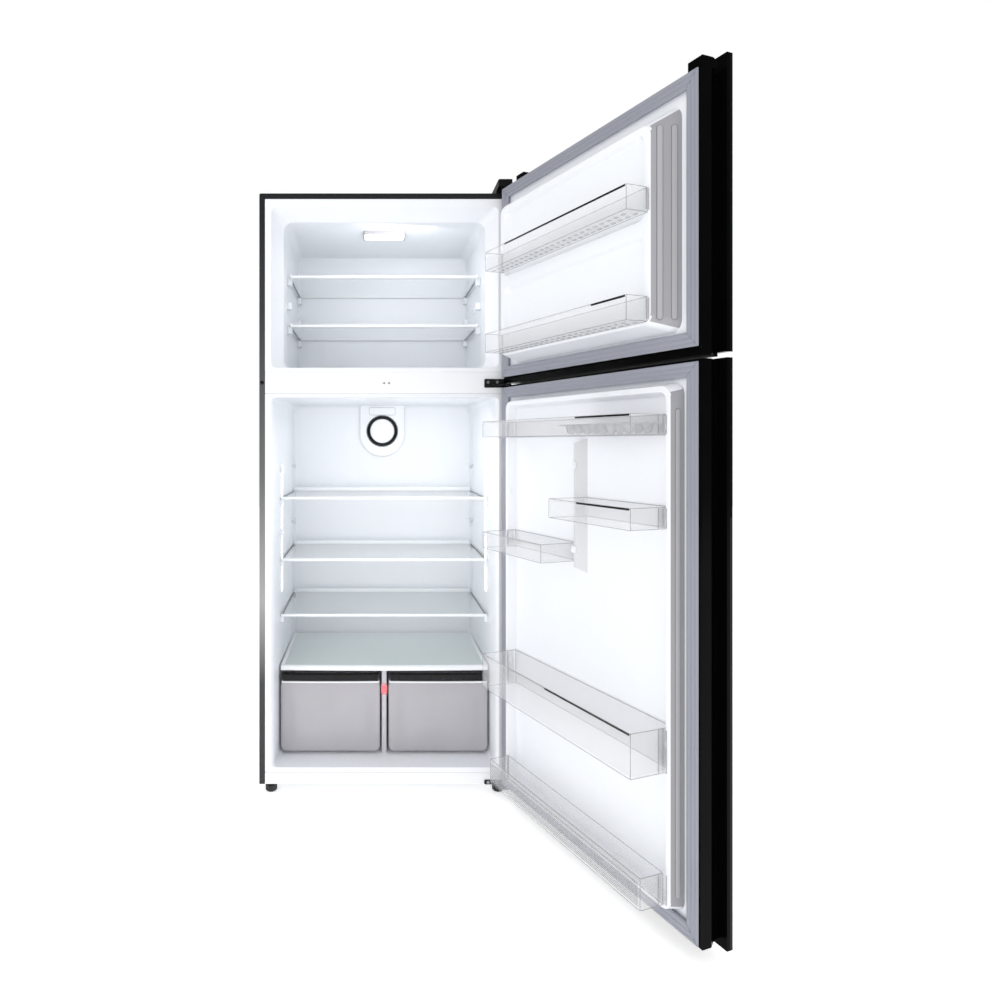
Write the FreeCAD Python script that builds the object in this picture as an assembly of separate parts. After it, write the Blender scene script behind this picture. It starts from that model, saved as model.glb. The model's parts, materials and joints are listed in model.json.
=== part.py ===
"""Top freezer refrigerator, standing with both doors open, as separate pieces.

Millimetres, +Z up.  X runs to the right for a person who faces the appliance and Y runs
from the cabinet's front plane (Y = 0) to its back.  The origin is on the floor, under the
middle of the cabinet's front edge.

Both doors hang on the right on one vertical pin line.  Each door is built closed and then
swung open about that line by DOOR_OPEN degrees, which is the pose at rest.
"""
import FreeCAD, Part
import math
import os

from FreeCAD import Vector

# ---- cabinet
WIDTH = 700.0
HALF = WIDTH / 2
DEPTH = 600.0
BASE_Z = 30.0  # underside of the cabinet
TOP_Z = 1676.0
SHEET = 1.0  # painted steel
FLANGE = 16.0  # front flange of the steel wrapper, beside and above the liners
LINER = 2.5  # thickness of every vacuum-formed liner
LIP_HALF = HALF - FLANGE  # the white front flanges of the liners reach this far
BAY_Y = 440.0  # compressor bay, across the back at the bottom
BAY_TOP = 265.0
BAY_COVER_Y = DEPTH - 2
FRONT_PANEL_DEPTH = LINER + 2.0

# ---- openings, as (Y, half width, floor, ceiling, corner radius) from front to back
FREEZER_FLOOR = 1190.0
FREEZER_FRONT_HALF = 316.0
FREEZER_FRONT_TOP = 1638.0
FREEZER_THROAT_HALF = 287.0
FREEZER_CEILING = 1608.0
FREEZER_FLARE = 45.0  # depth of the flared mouth
FREEZER_BACK = 545.0
FREEZER_BACK_HALF = 284.0
FRIDGE_FLOOR = 76.0
FRIDGE_CEILING = 1107.0
FRIDGE_BACK = 462.0
FRIDGE_SECTIONS = [(0.0, 318.0), (15.0, 309.0), (100.0, 306.0), (FRIDGE_BACK, 302.0)]
STEP_Y = 395.0  # the fridge floor steps up over the compressor bay
STEP_Z = 314.0
CORNER = 15.0
RAIL_Z = (1118.0, 1178.0)  # cover strip of the centre rail

# ---- doors, closed, with s measured from the pin line to the free side
PIN_X = 340.0
PIN_Y = -20.0
DOOR_OPEN = 111.0
DOOR_WALL = 2.5
SEAL_Y = -1.0  # front face of the cabinet is at 0, so an open seal clears it by this
SEAL_DEPTH = 12.0
SEAL_LIP = 3.0  # thickness of the seal's wide front lip
SEAL_WIDTH = 29.0
SEAL_HALF = 343.0
SEAL_OVERHANG = 12.0  # the lip reaches this far outside the seal's foot
SKIN_BACK = -SEAL_Y + SEAL_DEPTH  # rear plane of the door body, forward of the cabinet
FRONT_BACK = 66.0  # back of the front plate
GLASS_BACK = 74.0
GLASS_FRONT = 80.0
DOOR_HINGE_S = -10.0
DOOR_BODY_S = 683.0
DOOR_FRONT_S = 690.0
GRIP_S = 668.0  # bottom of the full-height finger groove at the free side
GRIP_FROM = 35.0
GRIP_TO = 58.0
FREEZER_DOOR = {"body": (1144.5, 1682.0), "panel": (1152.0, 1715.0), "seal": (1160.0, 1678.0)}
FRIDGE_DOOR = {"body": (35.0, 1138.0), "panel": (24.0, 1141.0), "seal": (43.5, 1132.0)}
TOP_BLOCKS = ((52.0, 86.0, 1697.0), (648.0, 683.0, 1703.0))  # on the freezer door's top cap
BLOCK_BACK = 50.0
BLOCK_SLOPE = (39.0, 1697.0)  # the block's front top corner is cut off from here
FREEZER_DYKE = {"base": (296.0, 1194.0, 1632.0), "crest": (272.0, 1209.0, 1597.0),
                "y": 46.0, "rim": 14.0, "floor_y": 27.0}
FRIDGE_DYKE = {"base": (301.0, 76.0, 1097.0), "crest": (294.0, 80.0, 1090.0),
               "y": 17.0, "rim": 10.0, "floor_y": -6.0}
DYKE_CORNERS = (24.0, 20.0, 14.0)  # corner radii of the base, the crest and the hollow
MIDDLE_RAIL = (-7.0, 9.0, 684.0, 982.0)  # X and Z of the ridge that the short bins hang on
MIDDLE_RAIL_Y = 14.0

# ---- hinges
PIN_R = 4.0
RUNNING = 0.05  # radial clearance of every shaft in its bore
BUSH_R = 6.5
BUSH_LENGTH = 18.0
HINGE_PLATE = 3.0
TONGUE_R = 9.0
TOP_TONGUE_R = 7.5
BRACKET_X = (277.0, 335.0)
CENTRE_PLATE_Z = (1134.0, 1158.0)
BOTTOM_PLATE_Z = (30.0, 42.0)
CENTRE_SCREW_Z = 1149.0
BOTTOM_SCREW_Z = 36.5
CENTRE_TONGUE_Z = 1139.7
BOTTOM_TONGUE_Z = 28.0
TOP_TONGUE_Z = 1684.5
HINGE_SCREW_X = (287.0, 313.0)
SCREW_R = 4.0
SCREW_HEAD = 2.0
SCREW_LENGTH = 18.0
TOP_BRACKET = (314.0, 344.0, 5.0, 88.0)
TOP_SCREWS = ((326.0, 42.0), (326.0, 70.0))
TOP_COVER = (311.5, HALF, -34.0, 98.0, 1703.0)  # X, Y and top of the hinge cover
TOP_COVER_WALL = 2.0

# ---- feet and rollers
FOOT_X = 320.0
FOOT_Y = 30.0
FOOT_R = 16.5
FOOT_HEIGHT = 18.0
STEM_R = 5.0
STEM_TOP = 62.0
ROLLER_R = 14.0
ROLLER_X = 300.0
ROLLER_Y = 560.0
ROLLER_WIDTH = 12.0
AXLE_R = 4.0
EAR = 2.0

# ---- freezer compartment
FREEZER_SHELF_Y = (123.0, 438.0)
FREEZER_SHELF_HALF = 281.0
FREEZER_SHELF_Z = (1326.0, 1470.0)
FREEZER_SPARE_Z = 1398.0  # support level with no shelf on it
GLASS = 4.0
KNOB_REACH = 8.0  # how far a support reaches under a shelf
KNOB_HEIGHT = 14.0
RAIL = 5.0
BACK_COVER_Y = 442.0
BACK_COVER = 3.0
FAN_Z = 1505.0
FAN_Y = 462.0
FAN_R = 62.0
FAN_SHAFT = 3.0
LAMP = (-58.0, 62.0, 127.0, 188.0)
LAMP_DROP = 9.0

# ---- fridge compartment
SHELF_Y = (105.0, 442.0)
SHELF_HALF = 303.0
SHELF_Z = (473.0, 636.0, 817.0)
SPARE_Z = (727.0, 912.0)
DUCT_HALF = 75.5
DUCT_Y = 446.0
DUCT_BOTTOM = 935.0
OUTLET_Z = 1021.0
OUTLET_R = 52.0
DISC_R = 41.0
LIGHT_Y = (130.0, 150.0)
LIGHT_Z = (540.0, 915.0)
COVER_Y = (83.0, 456.0)
COVER_Z = (317.0, 332.0)
COVER_HALF = 304.0
COVER_RIM = (15.0, 19.0, 12.0)  # width of the frame at the sides, in front and behind
GLASS_LEDGE = 5.0
DRAWER_Y = (85.0, 385.0)
DRAWER_Z = (80.0, 312.0)
DRAWER_X = ((-300.5, -12.0), (12.0, 300.5))
DRAWER_WALL = 2.5
HANDLE_Z = (288.0, 312.0)

# ---- door bins, closed: X from and to, floor, top, front Y
BIN_WALL = 2.5
FLANGE_REACH = 8.0  # end flanges of a bin, which rest on the crest of the liner's rim
FLANGE_DEPTH = 3.0
FREEZER_BIN_HALF = 260.0
FREEZER_BIN_FRONT = 100.0
FREEZER_BIN_Z = ((1213.0, 1263.0), (1424.0, 1474.0))
BIN_HALF = 278.0
BIN_GAP = 14.0  # half the gap between the two short bins, for the middle rail
BINS = {  # X from and to, floor, top, front Y, back Y
    "egg_bin": (-BIN_HALF, BIN_HALF, 994.0, 1036.0, 98.0, -5.5),
    "short_bin_left": (-BIN_HALF, -BIN_GAP, 812.0, 856.0, 98.0, -5.5),
    "short_bin_right": (BIN_GAP, BIN_HALF, 705.0, 749.0, 98.0, -5.5),
    "bottle_bin": (-BIN_HALF, BIN_HALF, 341.0, 429.0, 98.0, -5.5),
    "bottom_bin": (-BIN_HALF, BIN_HALF, 87.0, 150.0, 75.0, 17.0),
}
EGG_TRAY = (-255.0, -45.0)
EGG_R = 18.0
EGG_COLUMNS = 5


# ---- shapes that the pieces share
def box(x0, x1, y0, y1, z0, z1):
    """A plain block from one corner to the other."""
    return Part.makeBox(x1 - x0, y1 - y0, z1 - z0, Vector(x0, y0, z0))


def cylinder(r, length, at, axis):
    """A rod of radius r that starts at a point and runs along an axis."""
    return Part.makeCylinder(r, length, Vector(*at), Vector(*axis))


def rounded_wire(a0, a1, b0, b1, r, place):
    """A closed rounded rectangle; place turns its two flat coordinates into a point."""
    turns = [(a1 - r, b0 + r, -90.0), (a1 - r, b1 - r, 0.0),
             (a0 + r, b1 - r, 90.0), (a0 + r, b0 + r, 180.0)]
    edges = []
    last = None
    for a, b, start in turns:
        arc = []
        for angle in (start, start + 45.0, start + 90.0):
            t = math.radians(angle)
            arc.append(place(a + r * math.cos(t), b + r * math.sin(t)))
        if last is not None:
            edges.append(Part.makeLine(last, arc[0]))
        edges.append(Part.Arc(*arc).toShape())
        last = arc[2]
    edges.append(Part.makeLine(last, edges[0].Vertexes[0].Point))
    return Part.Wire(edges)


def front_wire(x0, x1, z0, z1, r, y):
    """A rounded rectangle that faces the front, at depth y."""
    return rounded_wire(x0, x1, z0, z1, r, lambda a, b: Vector(a, y, b))


def slab(x0, x1, y0, y1, z0, z1, r):
    """A block with rounded corners as seen from the front."""
    face = Part.Face(front_wire(x0, x1, z0, z1, r, y0))
    return face.extrude(Vector(0, y1 - y0, 0))


def tile(x0, x1, y0, y1, z0, z1, r):
    """A block with rounded corners as seen from above."""
    wire = rounded_wire(x0, x1, y0, y1, r, lambda a, b: Vector(a, b, z0))
    return Part.Face(wire).extrude(Vector(0, 0, z1 - z0))


def funnel(sections):
    """A solid through rounded rectangles given as (y, half width, floor, ceiling, radius)."""
    wires = [front_wire(-half, half, z0, z1, r, y) for y, half, z0, z1, r in sections]
    return Part.makeLoft(wires, True, True)


def ring(x0, x1, y0, y1, z0, z1, width, r):
    """A flat frame that faces the front, with one opening."""
    outer = slab(x0, x1, y0, y1, z0, z1, r)
    inner = slab(x0 + width, x1 - width, y0 - 1, y1 + 1, z0 + width, z1 - width, r)
    return outer.cut(inner)


def joined(shapes):
    """One solid from shapes that touch or overlap."""
    return shapes[0].fuse(list(shapes[1:])).removeSplitter()


def less(shape, cutters):
    """A shape with every cutter taken out."""
    for cutter in cutters:
        shape = shape.cut(cutter)
    return shape


def mirrored(shape):
    """The same shape on the other side of the middle plane."""
    return shape.mirror(Vector(0, 0, 0), Vector(1, 0, 0))


def both_sides(shape):
    """A shape and its mirror image, as two solids."""
    return [shape, mirrored(shape)]


def swung(shape):
    """A door piece, turned about the pin line from closed to the pose at rest."""
    turned = shape.copy()
    turned.rotate(Vector(PIN_X, PIN_Y, 0), Vector(0, 0, 1), DOOR_OPEN)
    return turned


# ---- cavities
def freezer_sections(grow):
    """Sections of the freezer cavity; its mouth tapers evenly to the throat."""
    mouth = (0.0, FREEZER_FRONT_HALF + grow, FREEZER_FLOOR - grow, FREEZER_FRONT_TOP + grow,
             CORNER + grow)
    throat = (FREEZER_FLARE, FREEZER_THROAT_HALF + grow, FREEZER_FLOOR - grow,
              FREEZER_CEILING + grow, CORNER + grow)
    back = (FREEZER_BACK + grow, FREEZER_BACK_HALF + grow, FREEZER_FLOOR - grow,
            FREEZER_CEILING + grow, CORNER + grow)
    return [mouth, throat, back]


def fridge_cavity(grow):
    """The fridge cavity, whose floor steps up over the compressor bay."""
    sections = [(y + (grow if y == FRIDGE_BACK else 0.0), half + grow,
                 FRIDGE_FLOOR - grow, FRIDGE_CEILING + grow, CORNER + grow)
                for y, half in FRIDGE_SECTIONS]
    step = box(-HALF, HALF, STEP_Y + grow, DEPTH, 0, STEP_Z - grow)
    return funnel(sections).cut(step)


# ---- small shapes that join a liner
def wall_half(sections, y):
    """Half width of a cavity at depth y, between its two nearest sections."""
    for (y0, half0), (y1, half1) in zip(sections, sections[1:]):
        if y0 <= y <= y1:
            return half0 + (half1 - half0) * (y - y0) / (y1 - y0)
    return sections[-1][1]


def shelf_knobs(sections, shelf_y, levels, shelf_half):
    """Supports moulded in both side walls, one near the front and one near the back."""
    knobs = []
    for z in levels:
        for y in (shelf_y[0] + 14, shelf_y[1] - 26):
            root = wall_half(sections, y + 11) + 1.0
            knob = tile(shelf_half - KNOB_REACH, root, y - 11, y + 11,
                        z - GLASS / 2 - KNOB_HEIGHT, z - GLASS / 2, 4.0)
            knobs += both_sides(knob)
    return knobs


def build_cabinet(parts):
    """Steel wrapper, base, liners, foam and the strips between the openings."""
    outer = box(-HALF, HALF, 0, DEPTH, BASE_Z, TOP_Z)
    inner = box(-HALF + SHEET, HALF - SHEET, SHEET, DEPTH + 1, BASE_Z - 1, TOP_Z - SHEET)
    mouth = box(-LIP_HALF, LIP_HALF, -1, SHEET + 1, BASE_Z - 1, TOP_Z - FLANGE)
    parts["outer_shell"] = less(outer, [inner, mouth])

    side = HALF - SHEET
    parts["back_panel"] = box(-side, side, DEPTH - SHEET, DEPTH, BAY_TOP, TOP_Z - SHEET)

    floor = box(-side, side, FRONT_PANEL_DEPTH, BAY_COVER_Y, BASE_Z, BASE_Z + SHEET)
    riser = box(-side, side, BAY_Y, BAY_Y + SHEET, BASE_Z + SHEET, BAY_TOP)
    roof = box(-side, side, BAY_Y, BAY_COVER_Y, BAY_TOP - SHEET, BAY_TOP)
    ears = []
    for x in (ROLLER_X - ROLLER_WIDTH / 2 - EAR - 1, ROLLER_X + ROLLER_WIDTH / 2 + 1):
        ear = box(x, x + EAR, ROLLER_Y - 9, ROLLER_Y + 9, 5, BASE_Z)
        ears += both_sides(ear)
    axle = cylinder(AXLE_R, ROLLER_WIDTH + 2 * EAR + 2,
                    (ROLLER_X - ROLLER_WIDTH / 2 - EAR - 1, ROLLER_Y, ROLLER_R), (1, 0, 0))
    pan = joined([floor, riser, roof] + ears + both_sides(axle))
    holes = both_sides(cylinder(STEM_R + RUNNING, 4, (FOOT_X, FOOT_Y, BASE_Z - 1), (0, 0, 1)))
    parts["base_pan"] = less(pan, holes)

    freezer_hole = funnel(freezer_sections(0.0))
    fridge_hole = fridge_cavity(0.0)
    freezer_skin = funnel(freezer_sections(LINER))
    fridge_skin = fridge_cavity(LINER)
    freezer_lip = slab(-LIP_HALF, LIP_HALF, 0, LINER, RAIL_Z[1], TOP_Z - FLANGE, 2.0)
    fridge_lip = slab(-LIP_HALF, LIP_HALF, 0, LINER, FRIDGE_FLOOR - 14, RAIL_Z[0], 2.0)

    levels = FREEZER_SHELF_Z + (FREEZER_SPARE_Z,)
    walls = [(FREEZER_FLARE, FREEZER_THROAT_HALF), (FREEZER_BACK, FREEZER_BACK_HALF)]
    knobs = shelf_knobs(walls, FREEZER_SHELF_Y, levels, FREEZER_SHELF_HALF)
    liner = joined([freezer_skin, freezer_lip]).cut(freezer_hole)
    freezer_liner = joined([liner] + knobs)

    levels = SHELF_Z + SPARE_Z
    knobs = shelf_knobs(FRIDGE_SECTIONS, SHELF_Y, levels, SHELF_HALF)
    liner = joined([fridge_skin, fridge_lip]).cut(fridge_hole)
    fridge_liner = joined([liner] + knobs)

    lamp = lamp_block()
    lights = both_sides(light_block())
    parts["freezer_liner"] = freezer_liner.cut(lamp)
    parts["fridge_liner"] = less(fridge_liner, lights)
    parts["lamp_lens"] = lamp
    parts["side_lights"] = Part.makeCompound(lights)

    foam = box(-side, side, LINER, DEPTH - SHEET, BASE_Z + SHEET, TOP_Z - SHEET)
    bay = box(-HALF, HALF, BAY_Y, DEPTH, 0, BAY_TOP)
    wells = both_sides(cylinder(STEM_R + 3, 40, (FOOT_X, FOOT_Y, BASE_Z), (0, 0, 1)))
    screws = [cylinder(SCREW_R - 1, 30, (x, -5, z), (0, 1, 0)) for x, z in screw_places()]
    base_block = box(-LIP_HALF, LIP_HALF, 0, FRONT_PANEL_DEPTH, 0, FRIDGE_FLOOR - 14)
    top_screws = [cylinder(SCREW_R, SCREW_LENGTH, (x, y, TOP_Z - SCREW_LENGTH), (0, 0, 1))
                  for x, y in TOP_SCREWS]
    cuts = [freezer_skin, fridge_skin, lamp, bay, base_block]
    parts["cabinet_foam"] = less(foam, cuts + top_screws + lights + wells + screws)

    rail = slab(-LIP_HALF, LIP_HALF, 0, LINER, RAIL_Z[0], RAIL_Z[1], 0.5)
    front = box(-LIP_HALF, LIP_HALF, 0, FRONT_PANEL_DEPTH, BASE_Z, FRIDGE_FLOOR - 14)
    hollow = box(-LIP_HALF + 3, LIP_HALF - 3, 3, FRONT_PANEL_DEPTH + 1, BASE_Z - 1,
                 FRIDGE_FLOOR - 17)
    parts["centre_rail_cover"] = less(rail, screws)
    parts["front_base_panel"] = less(front, [hollow] + screws)


def lamp_block():
    """Lens let into the freezer ceiling."""
    x0, x1, y0, y1 = LAMP
    return tile(x0, x1, y0, y1, FREEZER_CEILING - LAMP_DROP, FREEZER_CEILING + 6, 8.0)


def light_block():
    """One light strip let into a fridge side wall."""
    x = FRIDGE_SECTIONS[2][1]
    return box(x - 3, x + 2, LIGHT_Y[0], LIGHT_Y[1], LIGHT_Z[0], LIGHT_Z[1])


def screw_places():
    """X and Z of the screws in the front plates of the centre and bottom brackets."""
    return [(x, z) for z in (CENTRE_SCREW_Z, BOTTOM_SCREW_Z) for x in HINGE_SCREW_X]


def tongue(z):
    """A plate with a round end over the pin, back to the bracket's front plate."""
    round_end = cylinder(TONGUE_R, HINGE_PLATE, (PIN_X, PIN_Y, z), (0, 0, 1))
    arm = box(PIN_X - 26, PIN_X, PIN_Y - TONGUE_R, PIN_Y + TONGUE_R, z, z + HINGE_PLATE)
    neck = box(PIN_X - 40, PIN_X - 2, PIN_Y - 2, -HINGE_PLATE + 0.5, z, z + HINGE_PLATE)
    return joined([round_end, arm, neck])


def build_hinges(parts):
    """Three brackets, their pins, screws and the cover on top."""
    pin_hole = cylinder(PIN_R, TOP_Z + 50, (PIN_X, PIN_Y, 0), (0, 0, 1))
    screws = []
    for name, plate_z, z in (("centre", CENTRE_PLATE_Z, CENTRE_TONGUE_Z),
                             ("bottom", BOTTOM_PLATE_Z, BOTTOM_TONGUE_Z)):
        plate = slab(BRACKET_X[0], BRACKET_X[1], -HINGE_PLATE, 0, plate_z[0], plate_z[1], 3.0)
        web = box(PIN_X - 40, PIN_X - 5, -HINGE_PLATE, -HINGE_PLATE + 2, z, plate_z[1] - 4)
        bracket = joined([plate, web, tongue(z)])
        holes = [cylinder(SCREW_R - 1, 20, (x, -10, sz), (0, 1, 0)) for x, sz in screw_places()]
        parts[f"{name}_hinge_bracket"] = less(bracket, holes + [pin_hole])
    for x, z in screw_places():
        head = cylinder(SCREW_R, SCREW_HEAD, (x, -HINGE_PLATE - SCREW_HEAD, z), (0, 1, 0))
        shank = cylinder(SCREW_R - 1, SCREW_LENGTH, (x, -HINGE_PLATE, z), (0, 1, 0))
        screws.append(joined([head, shank]))

    x0, x1, y0, y1 = TOP_BRACKET
    base = tile(x0, x1, y0, y1, TOP_Z, TOP_Z + HINGE_PLATE, 4.0)
    riser = box(x0 + 2, x1, y0, y0 + HINGE_PLATE, TOP_Z, TOP_TONGUE_Z + HINGE_PLATE)
    arm = box(x0 + 4, PIN_X + TOP_TONGUE_R, PIN_Y, y0 + HINGE_PLATE, TOP_TONGUE_Z,
              TOP_TONGUE_Z + HINGE_PLATE)
    end = cylinder(TOP_TONGUE_R, HINGE_PLATE, (PIN_X, PIN_Y, TOP_TONGUE_Z), (0, 0, 1))
    holes = [cylinder(SCREW_R - 1, 10, (x, y, TOP_Z - 1), (0, 0, 1)) for x, y in TOP_SCREWS]
    parts["top_hinge_bracket"] = less(joined([base, riser, arm, end]), holes + [pin_hole])
    for x, y in TOP_SCREWS:
        head = cylinder(SCREW_R, SCREW_HEAD, (x, y, TOP_Z + HINGE_PLATE), (0, 0, 1))
        shank = cylinder(SCREW_R - 1, SCREW_LENGTH, (x, y, TOP_Z + HINGE_PLATE - SCREW_LENGTH),
                         (0, 0, 1))
        screws.append(joined([head, shank]))
    parts["hinge_screws"] = Part.makeCompound(screws)
    sheet_holes = [cylinder(SCREW_R - 1, SCREW_LENGTH + 2, (x, y, TOP_Z - SCREW_LENGTH), (0, 0, 1))
                   for x, y in TOP_SCREWS]
    parts["outer_shell"] = less(parts["outer_shell"], sheet_holes)

    reach = BUSH_LENGTH - 2
    pins = [cylinder(PIN_R, HINGE_PLATE + reach + 5, (PIN_X, PIN_Y, BOTTOM_TONGUE_Z), (0, 0, 1)),
            cylinder(PIN_R, HINGE_PLATE + 2 * reach, (PIN_X, PIN_Y, CENTRE_TONGUE_Z - reach),
                     (0, 0, 1)),
            cylinder(PIN_R, HINGE_PLATE + reach, (PIN_X, PIN_Y, TOP_TONGUE_Z - reach), (0, 0, 1))]
    parts["hinge_pins"] = Part.makeCompound(pins)

    wall = TOP_COVER_WALL
    x0, x1, y0, y1, z1 = TOP_COVER
    over = TOP_TONGUE_Z - 1
    shell = joined([tile(x0, x1, 3, y1, TOP_Z, z1, 5.0), tile(x0, x1, y0, 20, over, z1, 5.0)])
    inside = joined([tile(x0 + wall, x1 - wall, 3 + wall, y1 - wall, TOP_Z - 1, z1 - wall, 3.0),
                     tile(x0 + wall, x1 - wall, y0 + wall, 18, over - 1, z1 - wall, 3.0)])
    parts["top_hinge_cover"] = shell.cut(inside)


def build_feet(parts):
    """Two levelling feet in front and two rollers behind, on stub axles of the base pan."""
    pad = cylinder(FOOT_R, FOOT_HEIGHT - 4, (FOOT_X, FOOT_Y, 4), (0, 0, 1))
    toe = Part.makeCone(FOOT_R - 3, FOOT_R, 4, Vector(FOOT_X, FOOT_Y, 0), Vector(0, 0, 1))
    stem = cylinder(STEM_R, STEM_TOP - FOOT_HEIGHT, (FOOT_X, FOOT_Y, FOOT_HEIGHT), (0, 0, 1))
    foot = joined([pad, toe, stem])
    parts["levelling_foot_right"] = foot
    parts["levelling_foot_left"] = mirrored(foot)

    start = ROLLER_X - ROLLER_WIDTH / 2
    wheel = cylinder(ROLLER_R, ROLLER_WIDTH, (start, ROLLER_Y, ROLLER_R), (1, 0, 0))
    bore = cylinder(AXLE_R + RUNNING, ROLLER_WIDTH + 2, (start - 1, ROLLER_Y, ROLLER_R), (1, 0, 0))
    wheel = wheel.cut(bore)
    parts["rear_roller_right"] = wheel
    parts["rear_roller_left"] = mirrored(wheel)


def build_freezer(parts):
    """What stands inside the freezer compartment."""
    half = FREEZER_BACK_HALF - 0.5
    plate = slab(-half, half, BACK_COVER_Y, BACK_COVER_Y + BACK_COVER, FREEZER_FLOOR,
                 FREEZER_CEILING, CORNER)
    frame = ring(-half, half, BACK_COVER_Y - 4, BACK_COVER_Y, FREEZER_FLOOR, FREEZER_CEILING,
                 12.0, CORNER)
    slots = [slab(x - 7, x + 7, BACK_COVER_Y - 5, BACK_COVER_Y + 5, 1557, 1567, 2.0)
             for x in range(-50, 51, 20)]
    slots += [slab(x - 15, x + 15, BACK_COVER_Y - 5, BACK_COVER_Y + 5, 1206, 1214, 2.0)
              for x in range(-200, 201, 40)]
    parts["freezer_back_cover"] = less(joined([plate, frame]), slots)

    fins = [box(x, x + 1.0, 462, 522, 1225, 1405) for x in range(-210, 216, 30)]
    tubes = []
    for row in range(5):
        tubes.append(cylinder(4.0, 440, (-220, 480 + 24 * (row % 2), 1245 + row * 34), (1, 0, 0)))
    ends = [box(x, x + 3, 462, FREEZER_BACK, 1220, 1410) for x in (-223, 220)]
    parts["evaporator"] = joined(fins + tubes + ends)

    hub = cylinder(16, 20, (0, FAN_Y, FAN_Z), (0, 1, 0))
    blades = []
    for turn in range(5):
        blade = Part.makeBox(FAN_R - 12, 1.6, 34, Vector(12, FAN_Y + 9, FAN_Z - 17))
        blade.rotate(Vector(0, FAN_Y + 10, FAN_Z), Vector(1, 0, 0), 28)
        blade.rotate(Vector(0, FAN_Y, FAN_Z), Vector(0, 1, 0), 72 * turn)
        blades.append(blade)
    bore = cylinder(FAN_SHAFT + RUNNING, 30, (0, FAN_Y - 2, FAN_Z), (0, 1, 0))
    parts["evaporator_fan"] = joined([hub] + blades).cut(bore)
    can = cylinder(24, FREEZER_BACK - FAN_Y - 24, (0, FAN_Y + 24, FAN_Z), (0, 1, 0))
    shaft = cylinder(FAN_SHAFT, 26, (0, FAN_Y - 1, FAN_Z), (0, 1, 0))
    parts["fan_motor"] = joined([can, shaft])

    panes = []
    trims = []
    y0, y1 = FREEZER_SHELF_Y
    edge = FREEZER_SHELF_HALF
    for z in FREEZER_SHELF_Z:
        panes.append(box(-edge + RAIL, edge - RAIL, y0 + 8, y1, z - GLASS / 2, z + GLASS / 2))
        front = box(-edge, edge, y0, y0 + 8, z - 4 + 2, z + 6)
        rail = box(edge - RAIL, edge, y0 + 8, y1, z - GLASS / 2, z + 5)
        trims.append(joined([front] + both_sides(rail)))
    parts["freezer_shelves"] = Part.makeCompound(panes)
    parts["shelf_trims"] = Part.makeCompound(trims)


def build_fridge(parts):
    """What stands inside the fridge compartment."""
    back = FRIDGE_BACK
    body = joined([box(-DUCT_HALF, DUCT_HALF, DUCT_Y, back, DUCT_BOTTOM + DUCT_HALF,
                       FRIDGE_CEILING),
                   cylinder(DUCT_HALF, back - DUCT_Y, (0, DUCT_Y, DUCT_BOTTOM + DUCT_HALF),
                            (0, 1, 0))])
    seat = cylinder(OUTLET_R, 8, (0, DUCT_Y - 1, OUTLET_Z), (0, 1, 0))
    parts["duct_housing"] = body.cut(seat)
    rim = cylinder(OUTLET_R, 13, (0, DUCT_Y - 6, OUTLET_Z), (0, 1, 0))
    rim = rim.cut(cylinder(DISC_R, 15, (0, DUCT_Y - 7, OUTLET_Z), (0, 1, 0)))
    parts["air_outlet_ring"] = rim
    parts["air_outlet_disc"] = cylinder(DISC_R, 11, (0, DUCT_Y - 4, OUTLET_Z), (0, 1, 0))

    panes = []
    trims = []
    y0, y1 = SHELF_Y
    for z in SHELF_Z:
        pane = box(-SHELF_HALF + 2, SHELF_HALF - 2, y0 + 6, y1, z - GLASS / 2, z + GLASS / 2)
        panes.append(pane)
        front = box(-SHELF_HALF, SHELF_HALF, y0, y0 + 6, z - GLASS / 2, z + 7)
        lip = box(-SHELF_HALF + 3, SHELF_HALF - 3, y1 - 14, y1, z + GLASS / 2, z + 12)
        trims += [front, lip]
    parts["fridge_shelves"] = Part.makeCompound(panes)
    parts["shelf_trims"] = Part.makeCompound(parts["shelf_trims"].Solids + trims)

    y0, y1 = COVER_Y
    z0, z1 = COVER_Z
    plate = tile(-COVER_HALF, COVER_HALF, y0, y1, z0, z1, 6.0)
    taper = [box(COVER_HALF - 3, HALF, (y0 + y1) / 2, y1 + 1, z0 - 1, z1 + 1)]
    taper += [mirrored(taper[0])]
    side, front, behind = COVER_RIM
    inner = (COVER_HALF - side, y0 + front, y1 - behind)
    window = tile(-inner[0], inner[0], inner[1], inner[2], z0 - 1, z1 + 1, 4.0)
    ledge = GLASS_LEDGE
    seat = tile(-inner[0] - ledge, inner[0] + ledge, inner[1] - ledge, inner[2] + ledge,
                z1 - GLASS - 1, z1 - 1, 4.0)
    parts["crisper_cover_frame"] = less(plate, taper + [window, seat])
    parts["crisper_cover_glass"] = seat

    parts["crisper_divider"] = box(-7, 7, DRAWER_Y[0] + 12, STEP_Y, FRIDGE_FLOOR, COVER_Z[0])

    for name, (x0, x1) in zip(("left", "right"), DRAWER_X):
        y0, y1 = DRAWER_Y
        z0, z1 = DRAWER_Z
        wall = DRAWER_WALL
        tub = tile(x0, x1, y0, y1, z0, z1, 10.0)
        inner = tile(x0 + wall, x1 - wall, y0 + wall, y1 - wall, z0 + wall, z1 + 1, 8.0)
        lower = slab(x0, x1, y0 - 1, y1 + 1, z0, z1 + 40, 14.0)
        drawer = tub.common(lower).cut(inner)
        band = box(x0 + 6, x1 - 6, y0 - 5, y0 + 8, HANDLE_Z[0], HANDLE_Z[1])
        grip = box(x0 + 8, x1 - 8, y0 - 3, y0 + 9, HANDLE_Z[0] - 1, HANDLE_Z[1] - 3)
        parts[f"crisper_drawer_{name}"] = drawer.cut(band)
        parts[f"drawer_handle_{name}"] = band.cut(grip)


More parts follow.
